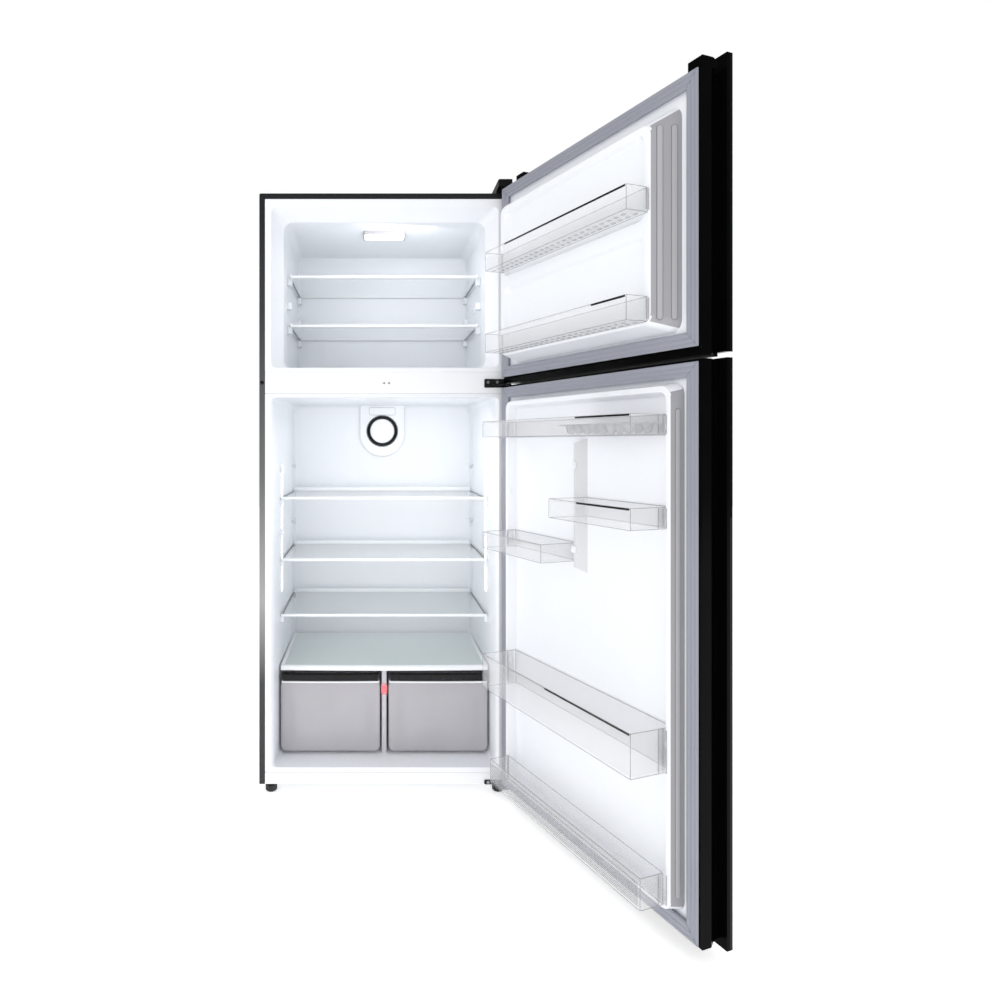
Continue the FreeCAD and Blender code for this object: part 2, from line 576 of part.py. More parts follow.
def build_machine(parts):
    """Compressor, rear cover and mains inlet in the bay at the bottom."""
    x, y = -120.0, 520.0
    can = joined([cylinder(62, 100, (x, y, 78), (0, 0, 1)),
                  Part.makeCone(50, 62, 24, Vector(x, y, 54), Vector(0, 0, 1)),
                  Part.makeCone(62, 44, 30, Vector(x, y, 178), Vector(0, 0, 1))])
    plate = box(x - 95, x + 95, y - 50, y + 50, 50, 54)
    terminal = box(x + 55, x + 82, y - 25, y + 25, 90, 150)
    parts["compressor"] = joined([can, plate, terminal])
    floor = BASE_Z + SHEET
    parts["compressor_mounts"] = Part.makeCompound(
        [cylinder(11, 50 - floor, (x + dx, y + dy, floor), (0, 0, 1))
         for dx in (-82, 82) for dy in (-37, 37)])

    side = HALF - SHEET
    cover = box(-side, side, BAY_COVER_Y, DEPTH, BASE_Z, BAY_TOP)
    slots = [slab(sx - 22, sx + 22, DEPTH - 3, DEPTH + 1, sz - 3, sz + 3, 2.5)
             for sx in range(-240, 241, 60) for sz in range(120, 221, 20)]
    gland_at = (250.0, DEPTH - 8, 75.0)
    hole = cylinder(8, 20, gland_at, (0, 1, 0))
    parts["rear_bay_cover"] = less(cover, slots + [hole])
    neck = cylinder(8, 8, gland_at, (0, 1, 0))
    collar = cylinder(12, 5, (gland_at[0], DEPTH, gland_at[2]), (0, 1, 0))
    cord = cylinder(3.8, 30, (gland_at[0], DEPTH - 12, gland_at[2]), (0, 1, 0))
    parts["mains_cord_gland"] = joined([neck, collar]).cut(cord)


# ---- doors, built closed
def prism(points, z0, z1):
    """A door-length solid over an outline of (s, t) points."""
    corners = [Vector(PIN_X - s, -t, z0) for s, t in points]
    return Part.Face(Part.makePolygon(corners + corners[:1])).extrude(Vector(0, 0, z1 - z0))


def dyke_block(dyke, shrink):
    """The raised rim of a door liner as a solid block, from the skin's plane inwards."""
    half, z0, z1 = dyke["base"]
    top_half, top_z0, top_z1 = dyke["crest"]
    return funnel([(-SKIN_BACK, half - shrink, z0 + shrink, z1 - shrink, DYKE_CORNERS[0]),
                   (dyke["y"] - shrink, top_half - shrink, top_z0 + shrink,
                    top_z1 - shrink, DYKE_CORNERS[1])])


def dyke_pocket(dyke, grow):
    """The hollow inside the raised rim, open towards the food."""
    half, z0, z1 = dyke["crest"]
    rim = dyke["rim"]
    near, far = dyke["floor_y"] - grow, dyke["y"] + 1
    r = DYKE_CORNERS[2]
    return funnel([(near, half - rim - 3 + grow, z0 + rim + 3 - grow, z1 - rim - 3 + grow, r),
                   (far, half - rim + grow, z0 + rim - grow, z1 - rim + grow, r)])


def top_block(near, far, low, top):
    """A raised block on the freezer door's top cap, with its front top corner cut off."""
    slope_t, slope_z = BLOCK_SLOPE
    points = [(SKIN_BACK, low), (SKIN_BACK, top), (slope_t, top),
              (BLOCK_BACK, min(slope_z, top - 4)), (BLOCK_BACK, low)]
    corners = [Vector(PIN_X - far, -t, z) for t, z in points]
    face = Part.Face(Part.makePolygon(corners + corners[:1]))
    return face.extrude(Vector(far - near, 0, 0))


def build_door(parts, name, sizes, dyke, bush_ends):
    """Frame, front glass, foam, liner, gasket and hinge bushes of one door."""
    z0, z1 = sizes["body"]
    p0, p1 = sizes["panel"]
    body = [(DOOR_HINGE_S, SKIN_BACK), (DOOR_BODY_S, SKIN_BACK), (DOOR_BODY_S, GRIP_FROM),
            (GRIP_S, GRIP_TO), (GRIP_S, FRONT_BACK), (DOOR_HINGE_S, FRONT_BACK)]
    w = DOOR_WALL
    inside = [(DOOR_HINGE_S + w, SKIN_BACK + w), (DOOR_BODY_S - w, SKIN_BACK + w),
              (DOOR_BODY_S - w, GRIP_FROM - w / 2), (GRIP_S - w, GRIP_TO - w / 2),
              (GRIP_S - w, FRONT_BACK + w), (DOOR_HINGE_S + w, FRONT_BACK + w)]
    plate = [(DOOR_HINGE_S, FRONT_BACK), (DOOR_FRONT_S, FRONT_BACK), (DOOR_FRONT_S, GLASS_BACK),
             (DOOR_HINGE_S, GLASS_BACK)]
    s0, s1 = sizes["seal"]
    edge = SEAL_OVERHANG + 1
    skin_box = (-SEAL_HALF + edge, SEAL_HALF - edge, s0 + edge, s1 - edge)
    skin_hole = slab(skin_box[0], skin_box[1], -SKIN_BACK - w, -SKIN_BACK + 1, skin_box[2],
                     skin_box[3], 2.0)
    hollow = prism(inside, z0 + w, z1 - w).fuse(skin_hole)
    pieces = [prism(body, z0, z1), prism(plate, p0, p1)]
    if name == "freezer":
        for near, far, top in TOP_BLOCKS:
            pieces.append(top_block(near, far, z1, top))
    bores = []
    bushes = []
    for end in bush_ends:
        low = z0 if end == "low" else z1 - BUSH_LENGTH
        bores.append(cylinder(BUSH_R, BUSH_LENGTH, (PIN_X, PIN_Y, low), (0, 0, 1)))
        hole = cylinder(PIN_R + RUNNING, BUSH_LENGTH + 2, (PIN_X, PIN_Y, low - 1), (0, 0, 1))
        bushes.append(bores[-1].cut(hole))
    frame = less(joined(pieces), [hollow] + bores)
    glass = prism([(DOOR_HINGE_S, GLASS_BACK), (DOOR_FRONT_S, GLASS_BACK),
                   (DOOR_FRONT_S, GLASS_FRONT), (DOOR_HINGE_S, GLASS_FRONT)], p0, p1)

    skin = slab(skin_box[0], skin_box[1], -SKIN_BACK - LINER, -SKIN_BACK, skin_box[2],
                skin_box[3], 2.0)
    rim_foam = dyke_block(dyke, LINER).cut(dyke_pocket(dyke, LINER))
    half, low, high = dyke["base"]
    well = slab(-half + LINER, half - LINER, -SKIN_BACK - LINER, -SKIN_BACK, low + LINER,
                high - LINER, 24.0)
    liner = joined([skin, dyke_block(dyke, 0.0)])
    liner = less(liner, [dyke_pocket(dyke, 0.0), rim_foam, well])
    if name == "fridge":
        x0, x1, low_end, high_end = MIDDLE_RAIL
        rail = box(x0, x1, dyke["floor_y"] - 1, MIDDLE_RAIL_Y, low_end, high_end)
        liner = joined([liner, rail])
    foam = joined([prism(inside, z0 + w, z1 - w), rim_foam, well])
    foam = less(foam, bores)

    over = SEAL_OVERHANG
    lip = ring(-SEAL_HALF, SEAL_HALF, SEAL_Y - SEAL_LIP, SEAL_Y, s0, s1, SEAL_WIDTH, 1.0)
    foot = ring(-SEAL_HALF + over, SEAL_HALF - over, -SKIN_BACK, SEAL_Y - SEAL_LIP,
                s0 + over, s1 - over, SEAL_WIDTH - over, 1.0)
    gasket = joined([lip, foot])
    made = {"panel": glass, "frame": frame, "liner": liner, "foam": foam, "gasket": gasket,
            "bushes": Part.makeCompound(bushes)}
    for piece, shape in made.items():
        parts[f"{name}_door_{piece}"] = swung(shape)


def bin_shell(x0, x1, z0, z1, front, back, crest, flanges):
    """A clear door bin: a tray with a low back and end flanges that rest on the rim."""
    wall = BIN_WALL
    tray = tile(x0, x1, back, front, z0, z1, 4.0)
    inner = tile(x0 + wall, x1 - wall, back + wall, front - wall, z0 + wall, z1 + 1, 2.5)
    low_back = box(x0 + wall, x1 - wall, back - 1, back + wall + 1, z0 + 0.6 * (z1 - z0), z1 + 1)
    ends = {"low": (x0 - FLANGE_REACH, x0 + wall / 2), "high": (x1 - wall / 2, x1 + FLANGE_REACH)}
    wings = [box(*ends[end], crest, crest + FLANGE_DEPTH, z0 + 4, z1 - 2) for end in flanges]
    return joined([less(tray, [inner, low_back])] + wings)


def build_bins(parts):
    """All bins on both doors, with the egg tray."""
    crest = FREEZER_DYKE["y"]
    half = FREEZER_BIN_HALF
    bins = [bin_shell(-half, half, z0, z1, FREEZER_BIN_FRONT, crest, crest, ("low", "high"))
            for z0, z1 in FREEZER_BIN_Z]
    parts["freezer_door_bins"] = swung(Part.makeCompound(bins))
    for name, (x0, x1, z0, z1, front, back) in BINS.items():
        crest = FRIDGE_DYKE["y"]
        ends = {-BIN_HALF: "low", BIN_HALF: "high"}
        flanges = [ends[x] for x in (x0, x1) if x in ends]
        parts[name] = swung(bin_shell(x0, x1, z0, z1, front, back, crest, flanges))

    x0, x1, z0, z1, front, back = BINS["egg_bin"]
    y0, y1 = back + BIN_WALL + 1, front - BIN_WALL - 1
    tray = tile(EGG_TRAY[0], EGG_TRAY[1], y0, y1, z0 + BIN_WALL, z0 + 26, 6.0)
    pitch = (EGG_TRAY[1] - EGG_TRAY[0]) / EGG_COLUMNS
    cups = []
    for column in range(EGG_COLUMNS):
        x = EGG_TRAY[0] + pitch * (column + 0.5)
        for y in (y0 + (y1 - y0) * 0.27, y0 + (y1 - y0) * 0.73):
            cups.append(Part.makeSphere(EGG_R, Vector(x, y, z0 + 26)))
    parts["egg_tray"] = swung(less(tray, cups))


def main():
    parts = {}
    build_cabinet(parts)
    build_hinges(parts)
    build_feet(parts)
    build_freezer(parts)
    build_fridge(parts)
    build_machine(parts)
    build_door(parts, "freezer", FREEZER_DOOR, FREEZER_DYKE, ("low", "high"))
    build_door(parts, "fridge", FRIDGE_DOOR, FRIDGE_DYKE, ("low", "high"))
    build_bins(parts)
    os.makedirs("parts", exist_ok=True)
    for node, shape in parts.items():
        shape.exportStep(f"parts/{node}.step")
        size = shape.BoundBox
        valid = "ok" if shape.isValid() else "INVALID"
        print(f"{node:24s} {valid} solids {len(shape.Solids)} "
              f"x {size.XMin:8.1f} {size.XMax:8.1f} y {size.YMin:8.1f} {size.YMax:8.1f} "
              f"z {size.ZMin:8.1f} {size.ZMax:8.1f}")


main()
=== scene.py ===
"""Looks of the top freezer refrigerator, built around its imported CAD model.

Meshes are made in millimetres in the row frame and scaled to metres at the end.  Door pieces
are made closed and then swung open about the pin line, as the CAD does it.
"""
import json
import math

import bmesh
import bpy
from mathutils import Matrix, Vector


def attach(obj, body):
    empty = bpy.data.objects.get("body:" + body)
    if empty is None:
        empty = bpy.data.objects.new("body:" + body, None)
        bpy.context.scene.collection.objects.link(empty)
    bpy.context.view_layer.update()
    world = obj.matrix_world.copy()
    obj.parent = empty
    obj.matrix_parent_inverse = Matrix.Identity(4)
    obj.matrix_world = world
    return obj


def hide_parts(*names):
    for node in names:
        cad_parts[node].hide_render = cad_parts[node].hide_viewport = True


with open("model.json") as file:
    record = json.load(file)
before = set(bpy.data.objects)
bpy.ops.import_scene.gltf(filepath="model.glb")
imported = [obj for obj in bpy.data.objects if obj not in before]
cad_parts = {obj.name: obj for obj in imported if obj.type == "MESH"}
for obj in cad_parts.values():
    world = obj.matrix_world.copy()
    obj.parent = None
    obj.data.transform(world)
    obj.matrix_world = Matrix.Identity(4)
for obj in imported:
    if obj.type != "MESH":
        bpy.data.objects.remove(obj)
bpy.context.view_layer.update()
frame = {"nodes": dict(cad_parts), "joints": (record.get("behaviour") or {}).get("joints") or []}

MM = 0.001
HINGE = next(j for j in frame["joints"] if j["name"] == "freezer_door_hinge")
PIN = Vector(HINGE["pos_m"]) / MM
OPEN = math.radians(-HINGE["range_deg"][0])
SWING = (Matrix.Translation(PIN) @ Matrix.Rotation(OPEN, 4, "Z") @ Matrix.Translation(-PIN))
SHUT = SWING.inverted()

# ---- cavities, in the same shape as the CAD liners
FREEZER_MOUTH = (316.0, 1190.0, 1638.0)  # half width, floor, ceiling
FREEZER_THROAT = (287.0, 1608.0)  # half width, ceiling
FLARE = 45.0
FRIDGE_HALVES = ((0.0, 318.0), (3.0, 314.5), (8.0, 311.0), (15.0, 309.0), (100.0, 306.0),
                 (394.5, 302.8))
FRIDGE_FLOOR = 76.0
FRIDGE_CEILING = 1107.0
FRIDGE_STEP = (395.0, 314.0)  # the floor steps up here, to this height
LIP = 16.0  # from the side of the cabinet to the liner
SKIN_BACK = 13.0  # from the cabinet's front to the flat border of a closed door's liner
FREEZER_SHELVES = (1326.0, 1470.0)  # heights of the glass plates' middles
SPARE_FREEZER_SHELF = 1398.0
FRIDGE_SHELVES = (473.0, 636.0, 817.0)
SPARE_FRIDGE_SHELVES = (727.0, 912.0)
SIDES = (-1, 1)
AIR_SLOTS = (1557.0, 1567.0)  # Z of the slots in the freezer's back cover
SENSOR = (250, 292, 1386, 1404, 283.6, 287.4)  # Y, Z and X of its cover on the freezer's wall
FILTER_COVER = (43.5, 1076.0, 1101.0)  # half width, low, high
STATUS_LIGHT = (6.2, 252.0, 270.0)
# Half width, low and high of the painted glow round the status light.
STATUS_GLOW_PATCH = (9.5, 244.0, 279.0)

# ---- the fridge door's middle rail, its hooks and the door bins, with the door shut
RAIL = ((-19, 0, 684, 990), (-12, 7 / 18, 688, 986), (-1, 1, 694, 981), (5, 1, 694, 981),
        (9, 0, 691, 983))  # X, share of its height, low, high
HOOKS = ((2, (929, 736)), (282, (852, 1012, 726, 400)), (-282, (736, 830, 1012, 400)))  # X and Zs
FREEZER_BIN_ENDS = (-269.0, 261.0)  # X of the free and the hinge end
# Each freezer bin: label, low, high, and the X where the painted dark reflection on its rim ends.
FREEZER_BINS = (("lower", 1213.0, 1263.0, -165.0), ("upper", 1424.0, 1474.0, 165.0))
FRIDGE_BINS = ("egg_bin", "short_bin_left", "short_bin_right", "bottle_bin", "bottom_bin")
DARK_REFLECTION_SHARES = {"egg_bin": 0.30, "short_bin_left": 0.62, "bottle_bin": 0.5}  # share of the rim's length with a painted dark reflection

# ---- door liners: base and crest of the raised rim, as (half width, low, high)
FREEZER_RIM = {"base": (296.0, 1194.0, 1632.0), "crest": (272.0, 1209.0, 1597.0),
               "rise": 46.0}
FRIDGE_RIM = {"base": (301.0, 76.0, 1097.0), "crest": (294.0, 80.0, 1090.0),
              "rise": 17.0, "floor": -6.0}


class Span:
    """The box of a CAD node in millimetres; a door's node is measured with the door shut."""

    def __init__(self, node, shut=False):
        turn = SHUT if shut else Matrix.Identity(4)
        points = [turn @ (v.co / MM) for v in frame["nodes"][node].data.vertices]
        self.x0, self.y0, self.z0 = (min(p[i] for p in points) for i in range(3))
        self.x1, self.y1, self.z1 = (max(p[i] for p in points) for i in range(3))


def across(side, near, far):
    """A span of X on the left (-1) or right (1) side, lowest first."""
    return sorted((side * near, side * far))


# ---- mesh building
PLACE = {"x": lambda a, b, h: (h, a, b),
         "y": lambda a, b, h: (a, h, b),
         "z": lambda a, b, h: (a, b, h)}
EASE = ((1.0, 0.0), (0.62, 0.08), (0.29, 0.29), (0.08, 0.62), (0.0, 1.0))


def rounded(a0, a1, b0, b1, r, steps=6):
    """Points of a rounded rectangle, the same number whatever its size."""
    r = max(0.01, min(r, (a1 - a0) / 2 - 0.01, (b1 - b0) / 2 - 0.01))
    points = []
    for a, b, start in ((a1 - r, b0 + r, -90), (a1 - r, b1 - r, 0),
                        (a0 + r, b1 - r, 90), (a0 + r, b0 + r, 180)):
        for i in range(steps + 1):
            t = math.radians(start + 90 * i / steps)
            points.append((a + r * math.cos(t), b + r * math.sin(t)))
    return points


class Maker:
    """Collects faces for one piece."""

    def __init__(self):
        self.bm = bmesh.new()
        self.slot = 0
        self.matrix = Matrix.Identity(4)

    def grid(self, rows, ring=True, caps=(False, False), joined=False):
        """Faces between rows of points; ring closes every row, caps fill the end rows and
        joined carries the last row on to the first."""
        made = [[self.bm.verts.new(self.matrix @ Vector(p)) for p in row] for row in rows]
        if joined:
            made.append(made[0])
        count = len(made[0])
        for lower, upper in zip(made, made[1:]):
            for i in range(count if ring else count - 1):
                j = (i + 1) % count
                self.face((lower[i], lower[j], upper[j], upper[i]))
        for cap, row in zip(caps, (made[0], made[-1])):
            if cap:
                self.face(row)
        return made

    def face(self, verts):
        made = self.bm.faces.new(verts)
        made.material_index = self.slot

    def loft(self, axis, sections, caps=(True, True), steps=6):
        """A skin through rounded rectangles (a0, a1, b0, b1, radius, height)."""
        put = PLACE[axis]
        rows = [[put(a, b, s[5]) for a, b in rounded(*s[:5], steps)] for s in sections]
        return self.grid(rows, True, caps)

    def block(self, axis, a0, a1, b0, b1, h0, h1, r=2.0, e=0.8, steps=6):
        """A block with corner radius r as seen along the axis and edges rounded by e."""
        e = min(e, (h1 - h0) / 2 - 0.01, (a1 - a0) / 2 - 0.02, (b1 - b0) / 2 - 0.02)
        sections = []
        for base, sign, ease in ((h0, 1, EASE), (h1, -1, EASE[::-1])):
            for inset, rise in ease:
                d = inset * e
                sections.append((a0 + d, a1 - d, b0 + d, b1 - d, max(r - d, 0.2),
                                 base + sign * rise * e))
        self.loft(axis, sections, (True, True), steps)

    def band(self, axis, a0, a1, b0, b1, r, profile, steps=6):
        """A frame: the profile's (inset, height) points carried round a rounded rectangle."""
        put = PLACE[axis]
        self.grid([[put(a, b, h) for a, b in
                    rounded(a0 + d, a1 - d, b0 + d, b1 - d, max(r - d, 0.3), steps)]
                   for d, h in profile], joined=True)

    def lathe(self, axis, a, b, profile, count=48, caps=(True, True)):
        """A turned shape about (a, b) from (radius, height) points."""
        put = PLACE[axis]
        turns = [2 * math.pi * i / count for i in range(count)]
        rows = [[put(a + r * math.cos(t), b + r * math.sin(t), h) for t in turns]
                for r, h in profile]
        self.grid(rows, True, caps)

    def prism(self, axis, outline, h0, h1):
        """A flat outline carried from h0 to h1."""
        put = PLACE[axis]
        self.grid([[put(a, b, h) for a, b in outline] for h in (h0, h1)], True, (True, True))

    def tube(self, points, r, count=10):
        """A round rod through points."""
        points = [Vector(p) for p in points]
        rows = []
        for i, p in enumerate(points):
            ahead = points[min(i + 1, len(points) - 1)] - points[max(i - 1, 0)]
            turn = ahead.to_track_quat("Z", "Y")
            rows.append([p + turn @ Vector((r * math.cos(2 * math.pi * k / count),
                                            r * math.sin(2 * math.pi * k / count), 0))
                         for k in range(count)])
        self.grid(rows, True, (True, True))


def show(name, data):
    """Puts a new object with these data in the scene."""
    made = bpy.data.objects.new(name, data)
    bpy.context.scene.collection.objects.link(made)
    return made


def piece(name, maker, body, slot, finishes, replaces=(), angle=38.0):
    """Turns what a maker holds into one named object that rides on a body.

    What rides on a door was made with the door shut, so it swings open here."""
    bm = maker.bm
    turn = SWING if body.endswith("_door") else Matrix.Identity(4)
    bmesh.ops.recalc_face_normals(bm, faces=bm.faces)
    bm.transform(Matrix.Scale(MM, 4) @ turn)
    mesh = bpy.data.meshes.new(name)
    bm.to_mesh(mesh)
    bm.free()
    mesh.shade_smooth()
    mesh.set_sharp_from_angle(angle=math.radians(angle))
    for finish in finishes:
        mesh.materials.append(finish)
    made = show(name, mesh)
    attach(made, body)
    if replaces:
        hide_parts(*replaces)


# ---- finishes
def shader(name):
    made = bpy.data.materials.new(name)
    made.use_nodes = True
    tree = made.node_tree
    return made, tree, tree.nodes["Principled BSDF"]


def adjust(node, **values):
    """Sets a node's inputs by name, with _ for a space."""
    for socket, value in values.items():
        node.inputs[socket.replace("_", " ")].default_value = value
    return node


def add(tree, kind, **values):
    return adjust(tree.nodes.new(f"ShaderNode{kind}"), **values)


def noise(tree, scale, stretch=(1.0, 1.0, 1.0), detail=3.0):
    """Noise over the piece's own coordinates; scale is per metre."""
    coordinates = add(tree, "TexCoord")
    mapping = add(tree, "Mapping", Scale=stretch)
    texture = add(tree, "TexNoise", Scale=scale, Detail=detail)
    tree.links.new(coordinates.outputs["Object"], mapping.inputs["Vector"])
    tree.links.new(mapping.outputs["Vector"], texture.inputs["Vector"])
    return texture.outputs["Fac"]


def ramp(tree, factor, stops):
    """A colour ramp over (place, colour) stops."""
    made = add(tree, "ValToRGB")
    elements = made.color_ramp.elements
    while len(elements) < len(stops):
        elements.new(0.5)
    for element, (place, colour) in zip(elements, stops):
        element.position = place
        element.color = (*colour, 1.0)
    tree.links.new(factor, made.inputs["Fac"])
    return made.outputs["Color"]


def between(tree, factor, low, high):
    """A number that follows a factor between two values."""
    made = add(tree, "MapRange", From_Min=0.3, From_Max=0.7, To_Min=low, To_Max=high)
    tree.links.new(factor, made.inputs["Value"])
    return made.outputs["Result"]


def shade(colour, share):
    return tuple(min(1.0, c * share) for c in colour)


def finish(name, colour, rough, vary=0.03, patch=9.0, grain=900.0, depth=0.02,
           stretch=(1.0, 1.0, 1.0), spread=0.05, **sockets):
    """A moulded or painted surface: uneven colour and gloss, and a fine grain as bump."""
    made, tree, base = shader(name)
    wide = noise(tree, patch, stretch)
    colours = ((0.3, shade(colour, 1 - vary)), (0.7, shade(colour, 1 + vary)))
    tree.links.new(ramp(tree, wide, colours), base.inputs["Base Color"])
    fine = noise(tree, grain, stretch, 2.0)
    tree.links.new(between(tree, fine, max(rough - spread, 0.0), rough + spread),
                   base.inputs["Roughness"])
    bump = add(tree, "Bump", Strength=depth, Distance=0.0005)
    tree.links.new(fine, bump.inputs["Height"])
    tree.links.new(bump.outputs["Normal"], base.inputs["Normal"])
    adjust(base, **sockets)
    return made


def striped(name, stops, rough, axis, first, last):
    """A surface whose colour runs along one axis of the row frame, between two places."""
    made, tree, base = shader(name)
    coordinates = add(tree, "TexCoord")
    split = add(tree, "SeparateXYZ")
    reach = add(tree, "MapRange", From_Min=first * MM, From_Max=last * MM)
    tree.links.new(coordinates.outputs["Object"], split.inputs["Vector"])
    tree.links.new(split.outputs[axis], reach.inputs["Value"])
    tree.links.new(ramp(tree, reach.outputs["Result"], stops), base.inputs["Base Color"])
    tree.links.new(between(tree, noise(tree, 300.0), rough * 0.8, rough * 1.2),
                   base.inputs["Roughness"])
    return made


def glow(name, colour, strength, around):
    """A lit lens whose brightness varies a little across it, over a white plastic."""
    made, tree, base = shader(name)
    soft = ramp(tree, noise(tree, around), ((0.3, shade(colour, 0.94)), (0.7, colour)))
    tree.links.new(soft, base.inputs["Base Color"])
    tree.links.new(soft, base.inputs["Emission Color"])
    adjust(base, Emission_Strength=strength, Roughness=0.3)
    return made


STEEL = finish("shell_paint", (0.045, 0.047, 0.052), 0.34, vary=0.35, patch=60.0, grain=700.0,
               depth=0.10, stretch=(1.0, 0.12, 14.0), Metallic=0.55)
# Painted reflection on the front flange of the wrapper: dark, then a silver band, then dark again
# up the cabinet.
FLANGE_REFLECTION = striped("flange_painted_reflection",
                 ((0.0, (0.012, 0.013, 0.015)), (0.17, (0.035, 0.037, 0.04)),
                  (0.31, (0.36, 0.37, 0.355)), (0.52, (0.13, 0.135, 0.135)),
                  (0.80, (0.035, 0.037, 0.042)), (0.97, (0.012, 0.013, 0.016))),
                 0.34, "Z", 30.0, 1676.0)
ZINC = finish("zinc_sheet", (0.50, 0.51, 0.52), 0.42, vary=0.14, patch=22.0, grain=420.0,
              depth=0.08, stretch=(1.0, 1.0, 0.5), Metallic=0.85)
WHITE = finish("liner_white", (0.865, 0.885, 0.92), 0.28, vary=0.008, patch=5.0, grain=1400.0,
               depth=0.025, Specular_IOR_Level=0.45)
TRIM = finish("trim_white", (0.90, 0.915, 0.94), 0.24, vary=0.01, patch=12.0, grain=1500.0,
              depth=0.03)
# Painted shade, grey-lilac, on the free side's outer slope of a door's rim, and on the rim round
# the freezer lamp.
PAINTED_SHADE_GREY = finish("liner_painted_shade", (0.37, 0.368, 0.392), 0.34, vary=0.012, patch=8.0, grain=1400.0,
              depth=0.03)
# Painted shade, darker, on the edges of the beads on that slope.
BEAD_EDGE_SHADE = finish("liner_bead_edge_shade", (0.24, 0.238, 0.258), 0.4, patch=20.0, grain=1400.0)
# Painted shade, light grey, on the fridge door's middle rail.
RAIL_SHADE = finish("liner_rail_painted_shade", (0.68, 0.685, 0.70), 0.34, vary=0.01, patch=8.0, grain=1400.0)
# Painted shade, lighter, on the beads' crowns, as if lit.
BEAD_LIT_CROWN = finish("liner_bead_lit_crown", (0.43, 0.428, 0.452), 0.3, vary=0.012, patch=8.0, grain=1400.0)
HINGE_BLACK = finish("hinge_paint", (0.007, 0.007, 0.008), 0.3, vary=0.2, patch=60.0, depth=0.06,
                     Specular_IOR_Level=0.3)
PIN_STEEL = finish("pin_steel", (0.66, 0.66, 0.68), 0.2, vary=0.06, patch=90.0, grain=1200.0,
                   depth=0.04, Metallic=1.0)
SCREW = finish("screw_steel", (0.34, 0.34, 0.36), 0.3, vary=0.1, patch=150.0, grain=1500.0,
               depth=0.05, Metallic=0.9)
BLACK = finish("black_plastic", (0.006, 0.006, 0.007), 0.2, vary=0.15, patch=40.0, grain=1100.0,
               depth=0.03, Specular_IOR_Level=0.25)
MATT_BLACK = finish("foot_plastic", (0.018, 0.018, 0.019), 0.55, vary=0.2, patch=60.0, grain=800.0,
                    depth=0.10)
RING = finish("outlet_ring", (0.022, 0.022, 0.024), 0.10, vary=0.1, patch=70.0, depth=0.01,
              Metallic=0.7)
GLASS = finish("shelf_glass", (0.80, 0.87, 0.86), 0.03, vary=0.01, patch=6.0, grain=200.0,
               depth=0.004, spread=0.012, Alpha=0.12)
FROST = striped("frosted_glass", ((0.0, (0.60, 0.67, 0.665)), (1.0, (0.84, 0.89, 0.89))),
                0.16, "Y", 97.0, 449.0)
CLEAR = finish("clear_plastic", (0.86, 0.865, 0.885), 0.06, vary=0.02, patch=14.0, grain=260.0,
               depth=0.01, spread=0.03, Alpha=0.14)
# Painted shade, grey and more opaque, on the rims, feet, corners and ribs of the clear bins.
CLEAR_EDGE_SHADE = finish("clear_plastic_edge_shade", (0.42, 0.425, 0.45), 0.12, vary=0.06, patch=40.0,
                    grain=400.0, depth=0.01, Alpha=0.5)
CLEAR_DOT = finish("clear_plastic_dot", (0.55, 0.555, 0.58), 0.12, vary=0.04, patch=40.0,
                   grain=400.0, depth=0.01, Alpha=0.42)
DRAWER = finish("drawer_plastic", (0.76, 0.745, 0.785), 0.26, vary=0.02, grain=400.0, depth=0.015,
                Alpha=0.36)
# Painted shade, grey and more opaque, on the edges and ribs of the crisper tubs.
DRAWER_EDGE_SHADE = finish("drawer_plastic_edge_shade", (0.42, 0.41, 0.45), 0.2, vary=0.05, patch=30.0,
                     grain=400.0, depth=0.015, Alpha=0.7)
RAIL_GREY = finish("rail_grey", (0.22, 0.225, 0.24), 0.4, vary=0.05, patch=40.0)
SLOT = finish("slot_shadow", (0.40, 0.41, 0.45), 0.6, vary=0.05, patch=60.0)
DIVIDER = finish("divider_plastic", (0.66, 0.65, 0.69), 0.4, patch=14.0)
SATIN = finish("satin_ring", (0.55, 0.56, 0.58), 0.25, vary=0.05, patch=60.0, depth=0.03,
               Metallic=0.9)
ALUMINIUM = finish("aluminium", (0.60, 0.62, 0.65), 0.35, vary=0.08, patch=80.0, depth=0.05,
                   Metallic=1.0)
FAN = finish("fan_plastic", (0.70, 0.72, 0.75), 0.4, patch=30.0)
MOTOR = finish("motor_metal", (0.42, 0.42, 0.44), 0.4, vary=0.1, patch=60.0, depth=0.06,
               Metallic=0.9)
CAN_BLACK = finish("compressor_paint", (0.014, 0.014, 0.015), 0.3, vary=0.25, patch=25.0,
                   grain=500.0, depth=0.12)
RUBBER = finish("rubber_black", (0.02, 0.02, 0.02), 0.7, vary=0.2, patch=90.0, grain=1600.0,
                depth=0.2)
PANEL = finish("door_glass", (0.0025, 0.0025, 0.003), 0.03, vary=0.2, patch=3.0, grain=40.0,
               depth=0.0, spread=0.01, Specular_IOR_Level=0.16, Coat_Weight=0.06,
               Coat_Roughness=0.02)
FRAME = finish("door_frame", (0.0015, 0.0015, 0.0017), 0.2, vary=0.2, patch=14.0,
               Specular_IOR_Level=0.04)
SEAL = finish("gasket_rubber", (0.29, 0.30, 0.35), 0.42, vary=0.008, patch=16.0, grain=1500.0,
              depth=0.03)
SEAM = finish("gasket_seam", (0.16, 0.175, 0.21), 0.6, vary=0.1, patch=60.0, grain=1500.0)
BUSH = finish("bush_plastic", (0.62, 0.62, 0.60), 0.45, vary=0.05, patch=60.0)
FOAM = finish("foam", (0.83, 0.73, 0.47), 0.85, vary=0.12, patch=120.0, grain=1600.0, depth=0.5)
LAMP = glow("lens", (0.96, 0.98, 1.0), 3.0, 30.0)
RED = glow("status_lens", (1.0, 0.03, 0.035), 7.0, 200.0)
